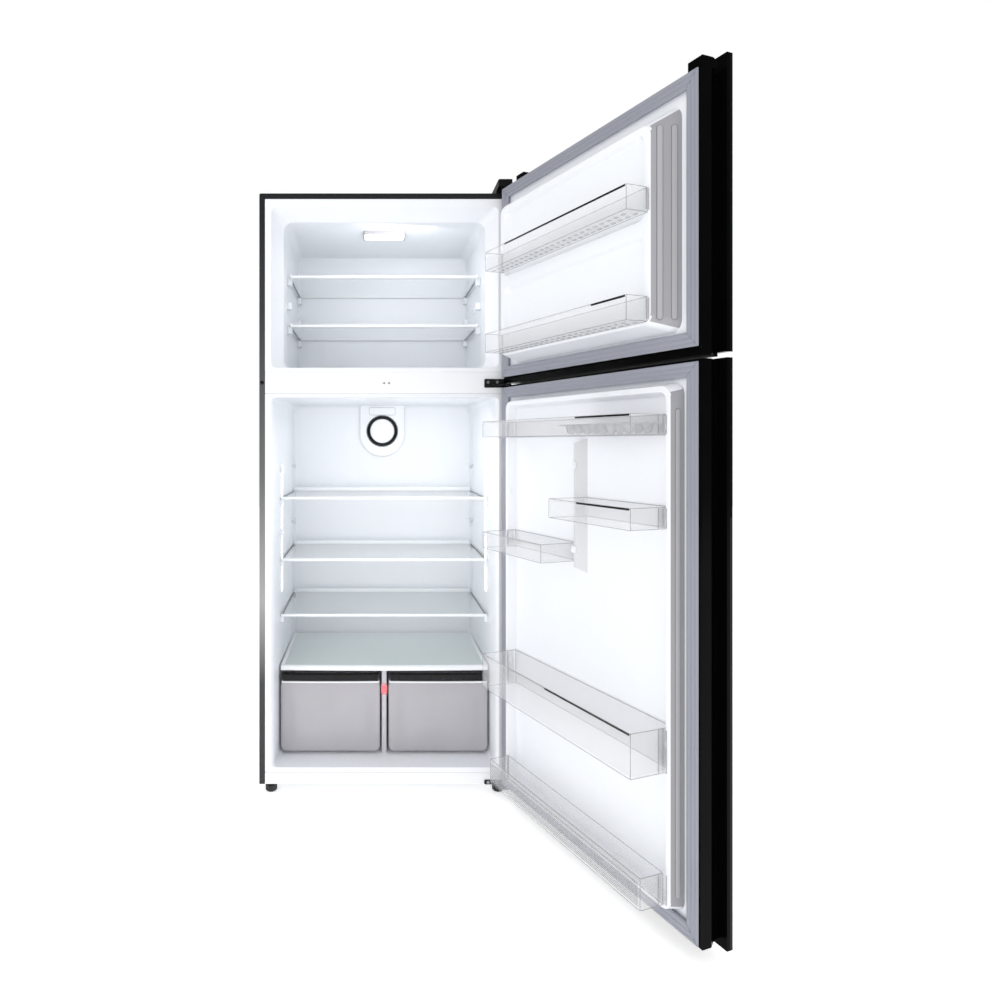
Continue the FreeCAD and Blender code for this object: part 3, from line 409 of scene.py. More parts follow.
# Painted glow: a faint pink sheet round the red status light, standing in for its light on the
# wall.
PAINTED_GLOW = finish("status_painted_glow", (1.0, 0.45, 0.5), 0.4, vary=0.1, patch=60.0, Alpha=0.28)

PLAIN = ("cabinet", "trim_white", [TRIM])  # body, slot and finish of the white trim pieces
GREY_LINE = ("cabinet", "trim_white", [RAIL_GREY])
DARK_GAP = ("cabinet", "trim_white", [SLOT])
ON_FREEZER_DOOR = ("freezer_door", "clear_plastic")  # body and slot of the bins' pieces
ON_FRIDGE_DOOR = ("fridge_door", "clear_plastic")
SKIN_FINISHES = [WHITE, PAINTED_SHADE_GREY, BEAD_EDGE_SHADE, BEAD_LIT_CROWN, RAIL_SHADE]  # of a door's inner skin: white, then the painted shade of the slope, the beads' painted shaded edges and lit crowns, and the rail's painted shade
SHADED_SLOPE_SLOT, BEAD_SHADE_SLOT, BEAD_LIT_CROWN_SLOT, RAIL_SHADE_SLOT = range(1, 5)

# the finish of every CAD node
CARRIED = (
    (STEEL, "outer_shell"),
    (ZINC, "back_panel base_pan"),
    (FOAM, "cabinet_foam freezer_door_foam fridge_door_foam"),
    (WHITE, "freezer_liner fridge_liner freezer_door_liner fridge_door_liner"),
    (TRIM, "centre_rail_cover front_base_panel freezer_back_cover duct_housing "
           "crisper_cover_frame crisper_divider shelf_trims air_outlet_disc"),
    (HINGE_BLACK, "top_hinge_bracket centre_hinge_bracket bottom_hinge_bracket"),
    (PIN_STEEL, "hinge_pins"),
    (SCREW, "hinge_screws"),
    (BLACK, "top_hinge_cover drawer_handle_left drawer_handle_right rear_bay_cover"),
    (MATT_BLACK, "levelling_foot_left levelling_foot_right rear_roller_left rear_roller_right"),
    (RING, "air_outlet_ring"),
    (LAMP, "lamp_lens side_lights"),
    (GLASS, "freezer_shelves fridge_shelves"),
    (FROST, "crisper_cover_glass"),
    (CLEAR, "freezer_door_bins egg_bin egg_tray short_bin_left short_bin_right bottle_bin "
            "bottom_bin"),
    (DRAWER, "crisper_drawer_left crisper_drawer_right"),
    (ALUMINIUM, "evaporator"),
    (FAN, "evaporator_fan"),
    (MOTOR, "fan_motor"),
    (CAN_BLACK, "compressor"),
    (RUBBER, "compressor_mounts mains_cord_gland"),
    (PANEL, "freezer_door_panel fridge_door_panel"),
    (FRAME, "freezer_door_frame fridge_door_frame"),
    (SEAL, "freezer_door_gasket fridge_door_gasket"),
    (BUSH, "freezer_door_bushes fridge_door_bushes"),
)
for made, nodes in CARRIED:
    for node in nodes.split():
        slots = frame["nodes"][node].data.materials
        slots.clear()
        slots.append(made)


# ---- cabinet
def cabinet_shell():
    """Painted steel wrapper: side, top and side from one folded sheet with a front flange."""
    box = Span("outer_shell")
    profile = [(0, box.y1), (0, 2.2), (0.25, 0.9), (0.9, 0.25), (2.2, 0), (LIP - 0.8, 0),
               (LIP, 0.8), (LIP, 1.6), (1.2, 1.6), (1.2, box.y1)]
    shell = Maker()
    rows = []
    for d, y in profile:
        x, top, r = box.x1 - d, box.z1 - d, max(5.0 - d, 0.4)
        row = [(-x, y, box.z0)]
        for side, turn in ((-1, 180), (1, 90)):
            for i in range(7):
                t = math.radians(turn - 15 * i)
                row.append((side * (x - r) + r * math.cos(t), y, top - r + r * math.sin(t)))
        row.append((x, y, box.z0))
        rows.append(row)
    rows.append(rows[0])
    shell.grid(rows, False)
    # The front faces of the flange take the painted reflection.
    for face in shell.bm.faces:
        face.material_index = int(face.calc_center_median().y < 2.0)
    bmesh.ops.remove_doubles(shell.bm, verts=shell.bm.verts, dist=0.001)
    piece("cabinet_shell", shell, "cabinet", "shell_paint", [STEEL, FLANGE_REFLECTION],
          replaces=["outer_shell", "cabinet_foam"])
    seams = Maker()
    for side in SIDES:
        seams.tube([(side * (box.x1 - d), -0.1, box.z1 - d) for d in (1.5, LIP)], 0.45, 6)
    rail = Span("centre_rail_cover")
    seams.lathe("y", -box.x1 + 8, (rail.z0 + rail.z1) / 2,
                [(5.2, 0.5), (5.2, -0.8), (4.2, -1.5), (0.5, -1.7)], 24)
    piece("cabinet_seams", seams, "cabinet", "black_plastic", [BLACK])


def back_of_cabinet():
    """Zinc back with pressed beads and a row of screws, over the slotted black bay cover."""
    box = Span("back_panel")
    back = Maker()
    back.block("y", box.x0, box.x1, box.z0, box.z1, box.y0, box.y1, 3.0, 0.3)
    low, high = box.z0 + 60, box.z1 - 60
    for x in (-240, -80, 80, 240):
        back.block("y", x - 13, x + 13, low, high, box.y1 - 0.4, box.y1 + 2.2, 13, 2.0)
    piece("back_sheet", back, "cabinet", "zinc_sheet", [ZINC], replaces=["back_panel"])
    screws = Maker()
    for z in (box.z0 + 14, box.z1 - 14):
        for x in range(-320, 321, 80):
            screws.lathe("y", x, z, [(4.5, box.y1 - 0.2), (4.4, box.y1 + 1.2),
                                     (2.6, box.y1 + 2.0), (0.3, box.y1 + 2.0)], 20)
    piece("back_screws", screws, "cabinet", "screw_steel", [SCREW])


def knob(maker, side, half, y, z, reach, length, height):
    """A rounded shelf support on a side wall; its top is level with the shelf's underside."""
    maker.block("z", *across(side, half - reach, half + 1.5), y - length / 2, y + length / 2,
                z - height, z, 6.0, 2.5)


def liner_flange(box):
    """Sections of a liner's front flange, from its turned-back edge to its flat face."""
    return [(box.x0 + d, box.x1 - d, box.z0 + d, box.z1 - d, 2, y)
            for d, y in ((0, 2.4), (0, 1.2), (0.4, 0.3), (1.2, 0))]


def freezer_liner():
    """White freezer liner: front flange, flared mouth, throat and the shelf supports."""
    half, low, high = FREEZER_MOUTH
    throat, ceiling = FREEZER_THROAT
    sections = liner_flange(Span("freezer_liner"))
    sections += [(-half - 1.6, half + 1.6, low - 1.6, high + 1.6, 17, 0.0),
                 (-half - 0.4, half + 0.4, low - 0.4, high + 0.4, 16, 0.4)]
    for share in (0.05, 0.95, 1.0):
        grow = (half - throat) * (1 - share)
        rise = (high - ceiling) * (1 - share)
        sections.append((-throat - grow, throat + grow, low, ceiling + rise, 16 + 10 * share,
                         2.4 + (FLARE - 2.4) * share))
    back = Span("freezer_back_cover").y0
    sections += [(-throat, throat, low, ceiling, 26, FLARE + 3),
                 (-throat + 1.8, throat - 1.8, low, ceiling, 26, back - 14),
                 (-throat + 2.2, throat - 2.2, low, ceiling, 26, back - 4),
                 (-throat + 6, throat - 6, low + 3, ceiling - 4, 24, back - 0.4)]
    liner = Maker()
    liner.loft("y", sections, (False, True), 10)
    shelf = Span("freezer_shelves")
    for z in (*FREEZER_SHELVES, SPARE_FREEZER_SHELF):
        for y in (shelf.y0 + 4, shelf.y1 - 22):
            for side in SIDES:
                knob(liner, side, throat, y, z - 2.4, 15, 30, 20)
    piece("freezer_liner_skin", liner, "cabinet", "liner_white", [WHITE],
          replaces=["freezer_liner"])


def fridge_liner():
    """White fridge liner with its stepped floor and shelf supports."""
    z0, z1 = FRIDGE_FLOOR, FRIDGE_CEILING
    sections = liner_flange(Span("fridge_liner"))
    for y, half in FRIDGE_HALVES:
        sections.append((-half, half, z0, z1, 12 if y < 20 else 18, y))
    step_y, step_z = FRIDGE_STEP
    sections += [(-302.6, 302.6, z0, z1, 18, step_y), (-302.6, 302.6, step_z, z1, 18, step_y + 0.3),
                 (-302.2, 302.2, step_z, z1, 26, 450), (-300.5, 300.5, step_z, z1 - 1.5, 32, 458),
                 (-296, 296, step_z, z1 - 6, 34, 461.9)]
    liner = Maker()
    liner.loft("y", sections, (False, True), 8)
    shelf = Span("fridge_shelves")
    for z in FRIDGE_SHELVES + SPARE_FRIDGE_SHELVES:
        for side in SIDES:
            knob(liner, side, 306, shelf.y0 + 8, z - 2.4, 12, 24, 17)
            wedge = [(shelf.y1 - 58, z - 2.4), (shelf.y1 - 4, z - 2.4), (shelf.y1 - 4, z - 11),
                     (shelf.y1 - 20, z - 17)]
            liner.prism("x", wedge, *across(side, 293.0, 304.0))
    piece("fridge_liner_skin", liner, "cabinet", "liner_white", [WHITE], replaces=["fridge_liner"])


cabinet_shell()
back_of_cabinet()
freezer_liner()
fridge_liner()


def fill(maker, rings):
    """A flat face between an outer row of vertices and the rows inside it."""
    edges = []
    for ring in rings:
        for one, two in zip(ring, ring[1:] + ring[:1]):
            edges.append(maker.bm.edges.get((one, two)) or maker.bm.edges.new((one, two)))
    bmesh.ops.triangle_fill(maker.bm, use_beauty=True, use_dissolve=False, edges=edges)


def tray(maker, x0, x1, y0, y1, z0, z1, wall, r, d, foot):
    """An open tub with rounded corners and rim, a rounded foot, and walls that lean by d."""
    outer = [(foot + d, 0.0), (foot * 0.4 + d, foot * 0.4), (d, foot), (0.0, z1 - z0 - 0.6),
             (0.3, z1 - z0), (wall - 0.3, z1 - z0), (wall, z1 - z0 - 0.6),
             (wall + d, foot + wall), (wall + foot * 0.4 + d, wall + foot * 0.4),
             (wall + foot + d, wall)]
    maker.loft("z", [(x0 + i, x1 - i, y0 + i, y1 - i, max(r - i, 1.0), z0 + h)
                     for i, h in outer])


def bar(maker, x0, x1, y0, y1, z0, z1, r, bow):
    """A bar along X whose middle stands forward by bow."""
    count = 24
    rows = []
    for i in range(count + 1):
        t = i / count
        shift = bow * (1 - (2 * t - 1) ** 2)
        rows.append([(x0 + (x1 - x0) * t, y - shift, z)
                     for y, z in rounded(y0, y1, z0, z1, r, 4)])
    maker.grid(rows, True, (True, True))


# ---- inside the freezer
def freezer_inside():
    """Back cover with its air slots, the lamp's rim, the shelf rails and a sensor cover."""
    cover = Span("freezer_back_cover")
    back = Maker()
    back.block("y", cover.x0, cover.x1, cover.z0, cover.z1, cover.y0 + 3, cover.y1, 24, 1.5)
    back.block("y", cover.x0 + 10, cover.x1 - 2, cover.z0 + 4, cover.z1 - 4, cover.y0,
               cover.y0 + 6, 20, 2.5)
    piece("freezer_back_skin", back, *PLAIN, replaces=["freezer_back_cover"])
    slots = Maker()
    for x in range(-50, 51, 20):
        slots.block("y", x - 7, x + 7, *AIR_SLOTS, cover.y0 - 0.25, cover.y0 + 2, 2.0, 0.2)
    piece("freezer_air_slots", slots, *DARK_GAP)

    lamp = Span("lamp_lens")
    rim = Maker()
    rim.band("z", lamp.x0 - 3, lamp.x1 + 3, lamp.y0 - 3, lamp.y1 + 3, 6,
             [(0, lamp.z1), (0, lamp.z0 - 0.6), (1.0, lamp.z0 - 1.6), (4.2, lamp.z0 - 1.6),
              (4.6, lamp.z0), (4.6, lamp.z1)])
    # The rim round the lamp carries the grey painted shade.
    piece("freezer_lamp_rim", rim, "cabinet", "trim_white", [PAINTED_SHADE_GREY])

    shelves = Span("freezer_shelves")
    rails = Maker()
    for z in FREEZER_SHELVES:
        for side in SIDES:
            rails.block("z", *across(side, 276.4, 280.6), shelves.y0 + 4, shelves.y1 - 2,
                        z - 2.6, z + 3.4, 1.5, 0.8)
    piece("freezer_shelf_rails", rails, *GREY_LINE)
    sensor = Maker()
    sensor.block("x", *SENSOR, 5, 1.2)
    piece("freezer_sensor_cover", sensor, *PLAIN)


# ---- inside the fridge
def duct():
    """White air duct cover with a rounded end, and its ringed outlet."""
    box = Span("duct_housing")
    half = box.x1
    centre = box.z0 + half
    cover = Maker()
    rows = []
    for inset, y in ((0.0, box.y1), (0.0, box.y0 + 4), (1.2, box.y0 + 1.2), (4.0, box.y0)):
        r = half - inset
        arc = [math.radians(180 + 180 * i / 28) for i in range(29)]
        row = [(r * math.cos(t), centre + r * math.sin(t)) for t in arc]
        row += [(r, box.z1 - 24), (r, box.z1), (-r, box.z1), (-r, box.z1 - 24)]
        rows.append([(x, y, z) for x, z in row])
    cover.grid(rows, True, (True, True))
    piece("duct_cover", cover, *PLAIN, replaces=["duct_housing"])

    ring = Span("air_outlet_ring")
    z = (ring.z0 + ring.z1) / 2
    r = ring.x1
    disc = Span("air_outlet_disc")
    ringed = Maker()
    inner = disc.x1 + 0.5
    rows = [(r, ring.y1), (r, ring.y0 + 3), (r - 0.8, ring.y0 + 1), (r - 2.6, ring.y0),
            (inner + 3, ring.y0), (inner + 1, ring.y0 + 1), (inner, ring.y0 + 3),
            (inner, ring.y1)]
    ringed.lathe("y", 0, z, rows + rows[:1], 72, (False, False))
    piece("air_outlet_bezel", ringed, "cabinet", "outlet_ring", [RING],
          replaces=["air_outlet_ring"])
    rim = Maker()
    rim.lathe("y", 0, z, [(r + 2.4, box.y0 + 1), (r + 2.4, box.y0 - 1.2), (r + 1.6, box.y0 - 2),
                          (r + 0.2, box.y0 - 2), (r + 0.2, box.y0 + 1), (r + 2.4, box.y0 + 1)],
              72, (False, False))
    piece("air_outlet_edge", rim, "cabinet", "outlet_ring", [SATIN])
    face = Maker()
    r = disc.x1
    face.lathe("y", 0, z, [(r, disc.y1), (r, disc.y0 + 2), (r - 1, disc.y0 + 0.5),
                           (r - 3, disc.y0), (r - 6, disc.y0 + 1.6), (r - 18, disc.y0 + 2.4),
                           (2, disc.y0 + 2.6)], 72)
    piece("air_outlet_face", face, *PLAIN, replaces=["air_outlet_disc"])
    lid = Maker()
    half, low, high = FILTER_COVER
    lid.block("y", -half, half, low, high, box.y0 - 3, box.y0 + 1, 5, 1.4)
    piece("air_filter_cover", lid, *PLAIN)
    gap = Maker()
    wide = 1.1
    gap.band("y", -half - wide, half + wide, low - wide, high + wide, 6,
             [(0, box.y0 - 0.2), (0, box.y0 + 0.8), (wide, box.y0 + 0.8), (wide, box.y0 - 0.2)])
    piece("air_filter_gap", gap, *DARK_GAP)


def shelf_edges():
    """White front and back edges of the glass shelves, and the grey line at each side."""
    freezer, fridge = Span("freezer_shelves"), Span("fridge_shelves")
    trims = Maker()
    lines = Maker()
    for z in FREEZER_SHELVES:
        front = freezer.y0
        trims.block("y", -275, 275, z - 4.8, z + 1.4, front - 25.6, front - 21.0, 2, 1)
        trims.block("z", -275, 275, front - 25, front + 8, z - 4.6, z - 2.2, 2, 0.6)
        trims.block("y", -274, 274, z + 1.6, z + 9, freezer.y1 - 9, freezer.y1 + 3.6, 2, 1)
        for side in SIDES:
            trims.block("y", *across(side, 275.6, 271.0), z - 3, z + 5, front - 25, front + 20,
                        1.5, 0.8)
    for z in FRIDGE_SHELVES:
        front = fridge.y0
        trims.block("y", -302, 302, z - 2.4, z + 4.6, front - 5.6, front + 1.2, 2, 1)
        trims.block("y", -299, 299, z + 1.9, z + 13, fridge.y1 - 12, fridge.y1 + 4, 3, 2)
        for side in SIDES:
            lines.block("z", *across(side, 301.4, 298.2), front + 1, fridge.y1 - 14,
                        z - 2.0, z + 2.4, 1, 0.5)
    piece("shelf_edges", trims, *PLAIN, replaces=["shelf_trims"])
    piece("shelf_side_lines", lines, *GREY_LINE)


def lights():
    """Long lit lenses in a white rim on both side walls."""
    box = Span("side_lights")
    rims = Maker()
    for side in SIDES:
        rims.band("x", box.y0 - 3, box.y1 + 3, box.z0 - 4, box.z1 + 4, 5,
                  [(inset, side * x) for inset, x in
                   ((0, 308.0), (0, 304.4), (1.2, 303.8), (4.0, 304.4), (4.0, 308.0))])
    piece("side_light_rims", rims, *PLAIN)


def crisper():
    """Framed glass cover, divider with its status light, and two tubs with black handles."""
    frame_box = Span("crisper_cover_frame")
    glass = Span("crisper_cover_glass")
    cover = Maker()
    x, y0, y1 = frame_box.x1, frame_box.y0, frame_box.y1
    z0, z1 = frame_box.z0, frame_box.z1
    for side in SIDES:
        cover.block("z", *across(side, x - 2.5, glass.x1 - 3), y0 + 8, y1 - 2,
                    z1 - 11, z1 - 0.2, 2, 1.4)
        for wide in (3.0, 7.0):
            cover.block("z", side * (x - wide) - 0.7, side * (x - wide) + 0.7, y0 + 14, y1 - 10,
                        z1 - 1, z1, 0.6, 0.4)
    cover.block("z", -x + 4, x - 4, y1 - 9, y1, z1 - 9, z1 - 0.4, 2, 1.4)
    rows = []
    for i in range(41):
        t = 2 * i / 40 - 1
        bow = 5.0 * (1 - t * t)
        rows.append([(t * (x - 3), y - bow, z)
                     for y, z in rounded(y0 + 5.2, y0 + 20, z0 + 1, z1, 3, 4)])
    cover.grid(rows, True, (True, True))
    piece("crisper_cover_rim", cover, *PLAIN, replaces=["crisper_cover_frame"])
    dark = Maker()
    for side in SIDES:
        dark.block("z", *across(side, x - 2.2, x - 0.6), y0 + 16, y1 - 6, z1 - 9, z1 - 1.5,
                   0.6, 0.4)
    piece("crisper_cover_lines", dark, *GREY_LINE)

    wall = Span("crisper_divider")
    divider = Maker()
    divider.block("y", wall.x0, wall.x1, wall.z0, wall.z1, wall.y0, wall.y1, 1.5, 1.2)
    for z in (wall.z0 + 60, wall.z0 + 130):
        divider.block("y", wall.x0 + 1.5, wall.x1 - 1.5, z, z + 40, wall.y0 - 1, wall.y0 + 1,
                      2, 0.8)
    piece("crisper_divider_wall", divider, "cabinet", "trim_white", [DIVIDER],
          replaces=["crisper_divider"])
    light = Maker()
    half, low, high = STATUS_LIGHT
    light.block("y", -half, half, low, high, wall.y0 - 2.4, wall.y0 + 1, 5, 1.4)
    # A faint pink patch round the status light: a painted glow of its light.
    glow_patch = Maker()
    half, low, high = STATUS_GLOW_PATCH
    glow_patch.block("y", -half, half, low, high, wall.y0 - 1.2, wall.y0 - 0.6, 4, 0.2)
    piece("crisper_status_painted_glow", glow_patch, "cabinet", "lens", [PAINTED_GLOW])
    piece("crisper_status_light", light, "cabinet", "lens", [RED])

    for side in ("left", "right"):
        body = f"{side}_crisper"
        tub_box = Span(f"crisper_drawer_{side}")
        x0, x1, y0, y1 = tub_box.x0, tub_box.x1, tub_box.y0, tub_box.y1
        z0, z1 = tub_box.z0, tub_box.z1
        tub = Maker()
        tray(tub, x0, x1, y0 + 2, y1, z0, z1 - 26, 2.6, 9, 4.0, 12)
        tub.block("y", x0 + 1, x1 - 1, z0 + 6, z1 - 24, y0, y0 + 3.4, 16, 1.6)
        for x in (x0 + 34, x1 - 34):
            tub.block("y", x - 3, x + 3, z0 + 26, z1 - 40, y0 + 3, y0 + 5.5, 3, 1)
        tub.band("z", x0 + 0.5, x1 - 0.5, y0 + 3, y1 - 0.5, 10,
                 [(0, z1 - 27), (0, z1 - 22.5), (7, z1 - 22.5), (7, z1 - 24.5), (1.4, z1 - 24.5),
                  (1.4, z1 - 27)])
        piece(f"crisper_tub_{side}", tub, body, "drawer_plastic", [DRAWER],
              replaces=[f"crisper_drawer_{side}"])
        # Edges and ribs of the tub, drawn in the grey painted shade.
        lines = Maker()
        lines.band("y", x0 + 0.6, x1 - 0.6, z0 + 5.6, z1 - 23.6, 16,
                   [(0, y0 + 0.2), (0, y0 - 0.5), (1.6, y0 - 0.5), (1.6, y0 + 0.2)])
        for x in (x0 + 34, x1 - 34):
            for step in (-4, 4):
                lines.block("y", x + step - 0.8, x + step + 0.8, z0 + 30, z1 - 66, y0 + 2, y0 + 4,
                            0.7, 0.3)
        lines.block("y", x0 + 8, x1 - 8, z0 + 30, z0 + 31.6, y0 + 60, y0 + 61.6, 0.6, 0.3)
        for x in (x0 + 3, x1 - 3):
            lines.tube([(x, y0 + 6, z1 - 27), (x, y1 - 4, z1 - 27)], 1.0, 8)
        piece(f"crisper_tub_lines_{side}", lines, body, "drawer_plastic", [DRAWER_EDGE_SHADE])
        grip = Span(f"drawer_handle_{side}")
        handle = Maker()
        bar(handle, grip.x0, grip.x1, grip.y0 + 2.6, grip.y1 - 2, grip.z0 + 1, grip.z1, 4.0, 2.4)
        piece(f"crisper_handle_{side}", handle, body, "black_plastic", [BLACK],
              replaces=[f"drawer_handle_{side}"])
        edge = Maker()
        bar(edge, grip.x0 - 3, grip.x1 + 3, grip.y0 + 3.4, grip.y1, grip.z0 - 4.6, grip.z0 + 0.6,
            2.0, 2.2)
        piece(f"crisper_front_edge_{side}", edge, body, "drawer_plastic", [TRIM])


def front_panels():
    """White rail between the two compartments, and the kick panel under the fridge."""
    rail = Span("centre_rail_cover")
    cover = Maker()
    cover.block("y", rail.x0 + 0.4, rail.x1 - 0.4, rail.z0 + 0.3, rail.z1 - 0.3, rail.y0, rail.y1,
                2, 0.7)
    for x in (-2.0, 12.0):
        cover.block("y", x - 3.4, x + 3.4, rail.z0 + 27, rail.z0 + 31, rail.y0, rail.y0 + 1,
                    1.4, 0.3)
    piece("centre_rail_front", cover, *PLAIN, replaces=["centre_rail_cover"])
    base = Span("front_base_panel")
    kick = Maker()
    kick.block("y", base.x0, base.x1, base.z0, base.z1 - 0.3, base.y0, base.y1, 2, 1.0)
    piece("kick_panel", kick, *PLAIN, replaces=["front_base_panel"])


# ---- doors
def bin_edges(maker, x0, x1, y0, y1, z0, z1):
    """The edges of a clear bin: its rim, its foot and its upright corners, as tubes for a painted
    shade.
    """
    r = 0.8
    for z in (z0 + 1.4, z1 - 0.6):
        loop = [(a, b, z) for a, b in rounded(x0 + 1, x1 - 1, y0 + 1, y1 - 1, 4, 3)]
        maker.tube(loop + loop[:1], r, 6)
    for x in (x0 + 1.6, x1 - 1.6):
        for y in (y0 + 1.6, y1 - 1.6):
            maker.tube([(x, y, z0 + 2), (x, y, z1 - 1)], r, 6)


def slope_ribs(liner, rim, shares, width, low, high):
    """Raised beads along the door on the free side's outer slope of the rim.

    They are made in a frame with X down the slope, Y up the door and Z outward."""
    foot = Vector((-rim["base"][0], -SKIN_BACK, 0))
    head = Vector((-rim["crest"][0], rim["rise"], 0))
    along = (foot - head).normalized()
    up = Vector((0, 0, 1))
    out = along.cross(up)
    if out.x > 0:
        out = -out
    liner.matrix = (Matrix.Translation(head)
                    @ Matrix((along, up, out)).transposed().to_4x4())
    for share in shares:
        embossed_rib(liner, (foot - head).length * share, width, low, high)
    liner.matrix = Matrix.Identity(4)


def door_liner(name, rim, recesses):
    """White inner panel: flat border, raised rim and the hollows inside it."""
    frame_box = Span(f"{name}_door_gasket", True)
    base, crest = rim["base"], rim["crest"]
    half, low, high = base
    top_half, top_low, top_high = crest
    rise = rim["rise"]
    flat = -SKIN_BACK
    liner = Maker()
    edge_x, edge0, edge1 = frame_box.x1 - 14, frame_box.z0 + 14, frame_box.z1 - 14
    sections = [(-edge_x, edge_x, edge0, edge1, 3, flat - 0.6),
                (-edge_x, edge_x, edge0, edge1, 3, flat),
                (-half - 3, half + 3, low - 3, high + 3, 27, flat)]
    for share in (0.03, 0.08, 0.92, 0.97):
        mix = [a + (b - a) * share for a, b in zip(base, crest)]
        sections.append((-mix[0], mix[0], mix[1], mix[2], 24, flat + (rise - flat) * share))
    for d, r, y in ((0.8, 20, rise - 0.35), (2.4, 19, rise)):
        sections.append((-top_half + d, top_half - d, top_low + d, top_high - d, r, y))
    made = liner.loft("y", sections, (False, False), 10)
    rings = [made[-1]]
    put = PLACE["y"]
    for x0, x1, z0, z1, floor, lean in recesses:
        steps = ((0, rise), (1.2, rise - 0.3), (2.2, rise - 1.6), (lean - 2, floor + 1.8),
                 (lean, floor + 0.4), (lean + 2.2, floor))
        rows = [[put(a, b, y) for a, b in
                 rounded(x0 + d, x1 - d, z0 + d, z1 - d, max(18 - d, 5), 8)] for d, y in steps]
        rings.append(liner.grid(rows, True, (False, True))[0])
    fill(liner, rings)
    # Faces of the free side's outer slope take the painted shade.
    for face in liner.bm.faces:
        face.normal_update()
        middle = face.calc_center_median()
        if abs(face.normal.x) > 0.6 and middle.x < -top_half:
            face.material_index = SHADED_SLOPE_SLOT
    return liner


def embossed_rib(maker, middle, width, low, high):
    """A long round-ended bead on the rim's slope: a shallow step in a darker painted shade, with a
    crown in a lighter painted shade, as if lit.
    """
    half = width / 2
    # The bead's edge in painted shade.
    maker.slot = BEAD_SHADE_SLOT
    maker.block("z", middle - half, middle + half, low, high, -1.0, 1.2, half - 0.1, 1.0, 8)
    # Its crown in a lighter painted shade, as if lit.
    maker.slot = BEAD_LIT_CROWN_SLOT
    half -= 1.4
    maker.block("z", middle - half, middle + half, low + 1.4, high - 1.4, 0.6, 2.6, half - 0.1,
                1.4, 8)


def lug(maker, x, z, y, w=11.0, h=16.0):
    """A small bin hook that stands on the inner panel."""
    maker.block("y", x - w / 2, x + w / 2, z - h / 2, z + h / 2, y - 1, y + 5, 3, 1.6)
    maker.block("y", x - w / 2 + 2, x + w / 2 - 2, z - h / 2 + 3, z + h / 2 - 5, y + 4, y + 8,
                2, 1.2)


def gasket(name):
    """Magnetic seal with a wide lip, ribs along it, a narrower foot and mitred corners."""
    box = Span(f"{name}_door_gasket", True)
    seal = Maker()
    profile = [(12.4, -SKIN_BACK + 0.1), (9.5, -9.5), (4.0, -6.0), (0.6, -4.4), (0.0, -3.0),
               (0.5, -1.5), (2.2, -1.0), (6.5, -1.1), (7.5, -1.9), (8.7, -1.9), (9.7, -1.1),
               (16.5, -1.0), (17.5, -1.9), (18.7, -1.9), (19.7, -1.1), (25.5, -1.3),
               (28.0, -2.4), (29.0, -4.4), (27.6, -7.5), (25.0, -10.0), (25.6, -SKIN_BACK + 0.1)]
    seal.band("y", box.x0, box.x1, box.z0, box.z1, 1.2, profile, 2)
    piece(f"{name}_door_seal", seal, f"{name}_door", "gasket_rubber", [SEAL],
          replaces=[f"{name}_door_gasket"], angle=50)
    seams = Maker()
    for sx, x in ((1, box.x0), (-1, box.x1)):
        for sz, z in ((1, box.z0), (-1, box.z1)):
            seams.tube([(x + sx * 1.5, -1.15, z + sz * 1.5), (x + sx * 27, -1.25, z + sz * 27)],
                       0.4, 6)
    piece(f"{name}_seal_seams", seams, f"{name}_door", "gasket_rubber", [SEAM])


def door_rim(name):
    """Black edge of the door's frame round the foot of the seal."""
    box = Span(f"{name}_door_gasket", True)
    rim = Maker()
    rim.band("y", box.x0, box.x1, box.z0 - 2, box.z1 + 2, 3,
             [(0, -SKIN_BACK - 0.5), (0, -8.5), (0.8, -7.6), (3.0, -7.6), (8.4, -9.4),
              (8.4, -SKIN_BACK - 0.5)])
    piece(f"{name}_door_rim", rim, f"{name}_door", "door_frame", [FRAME])


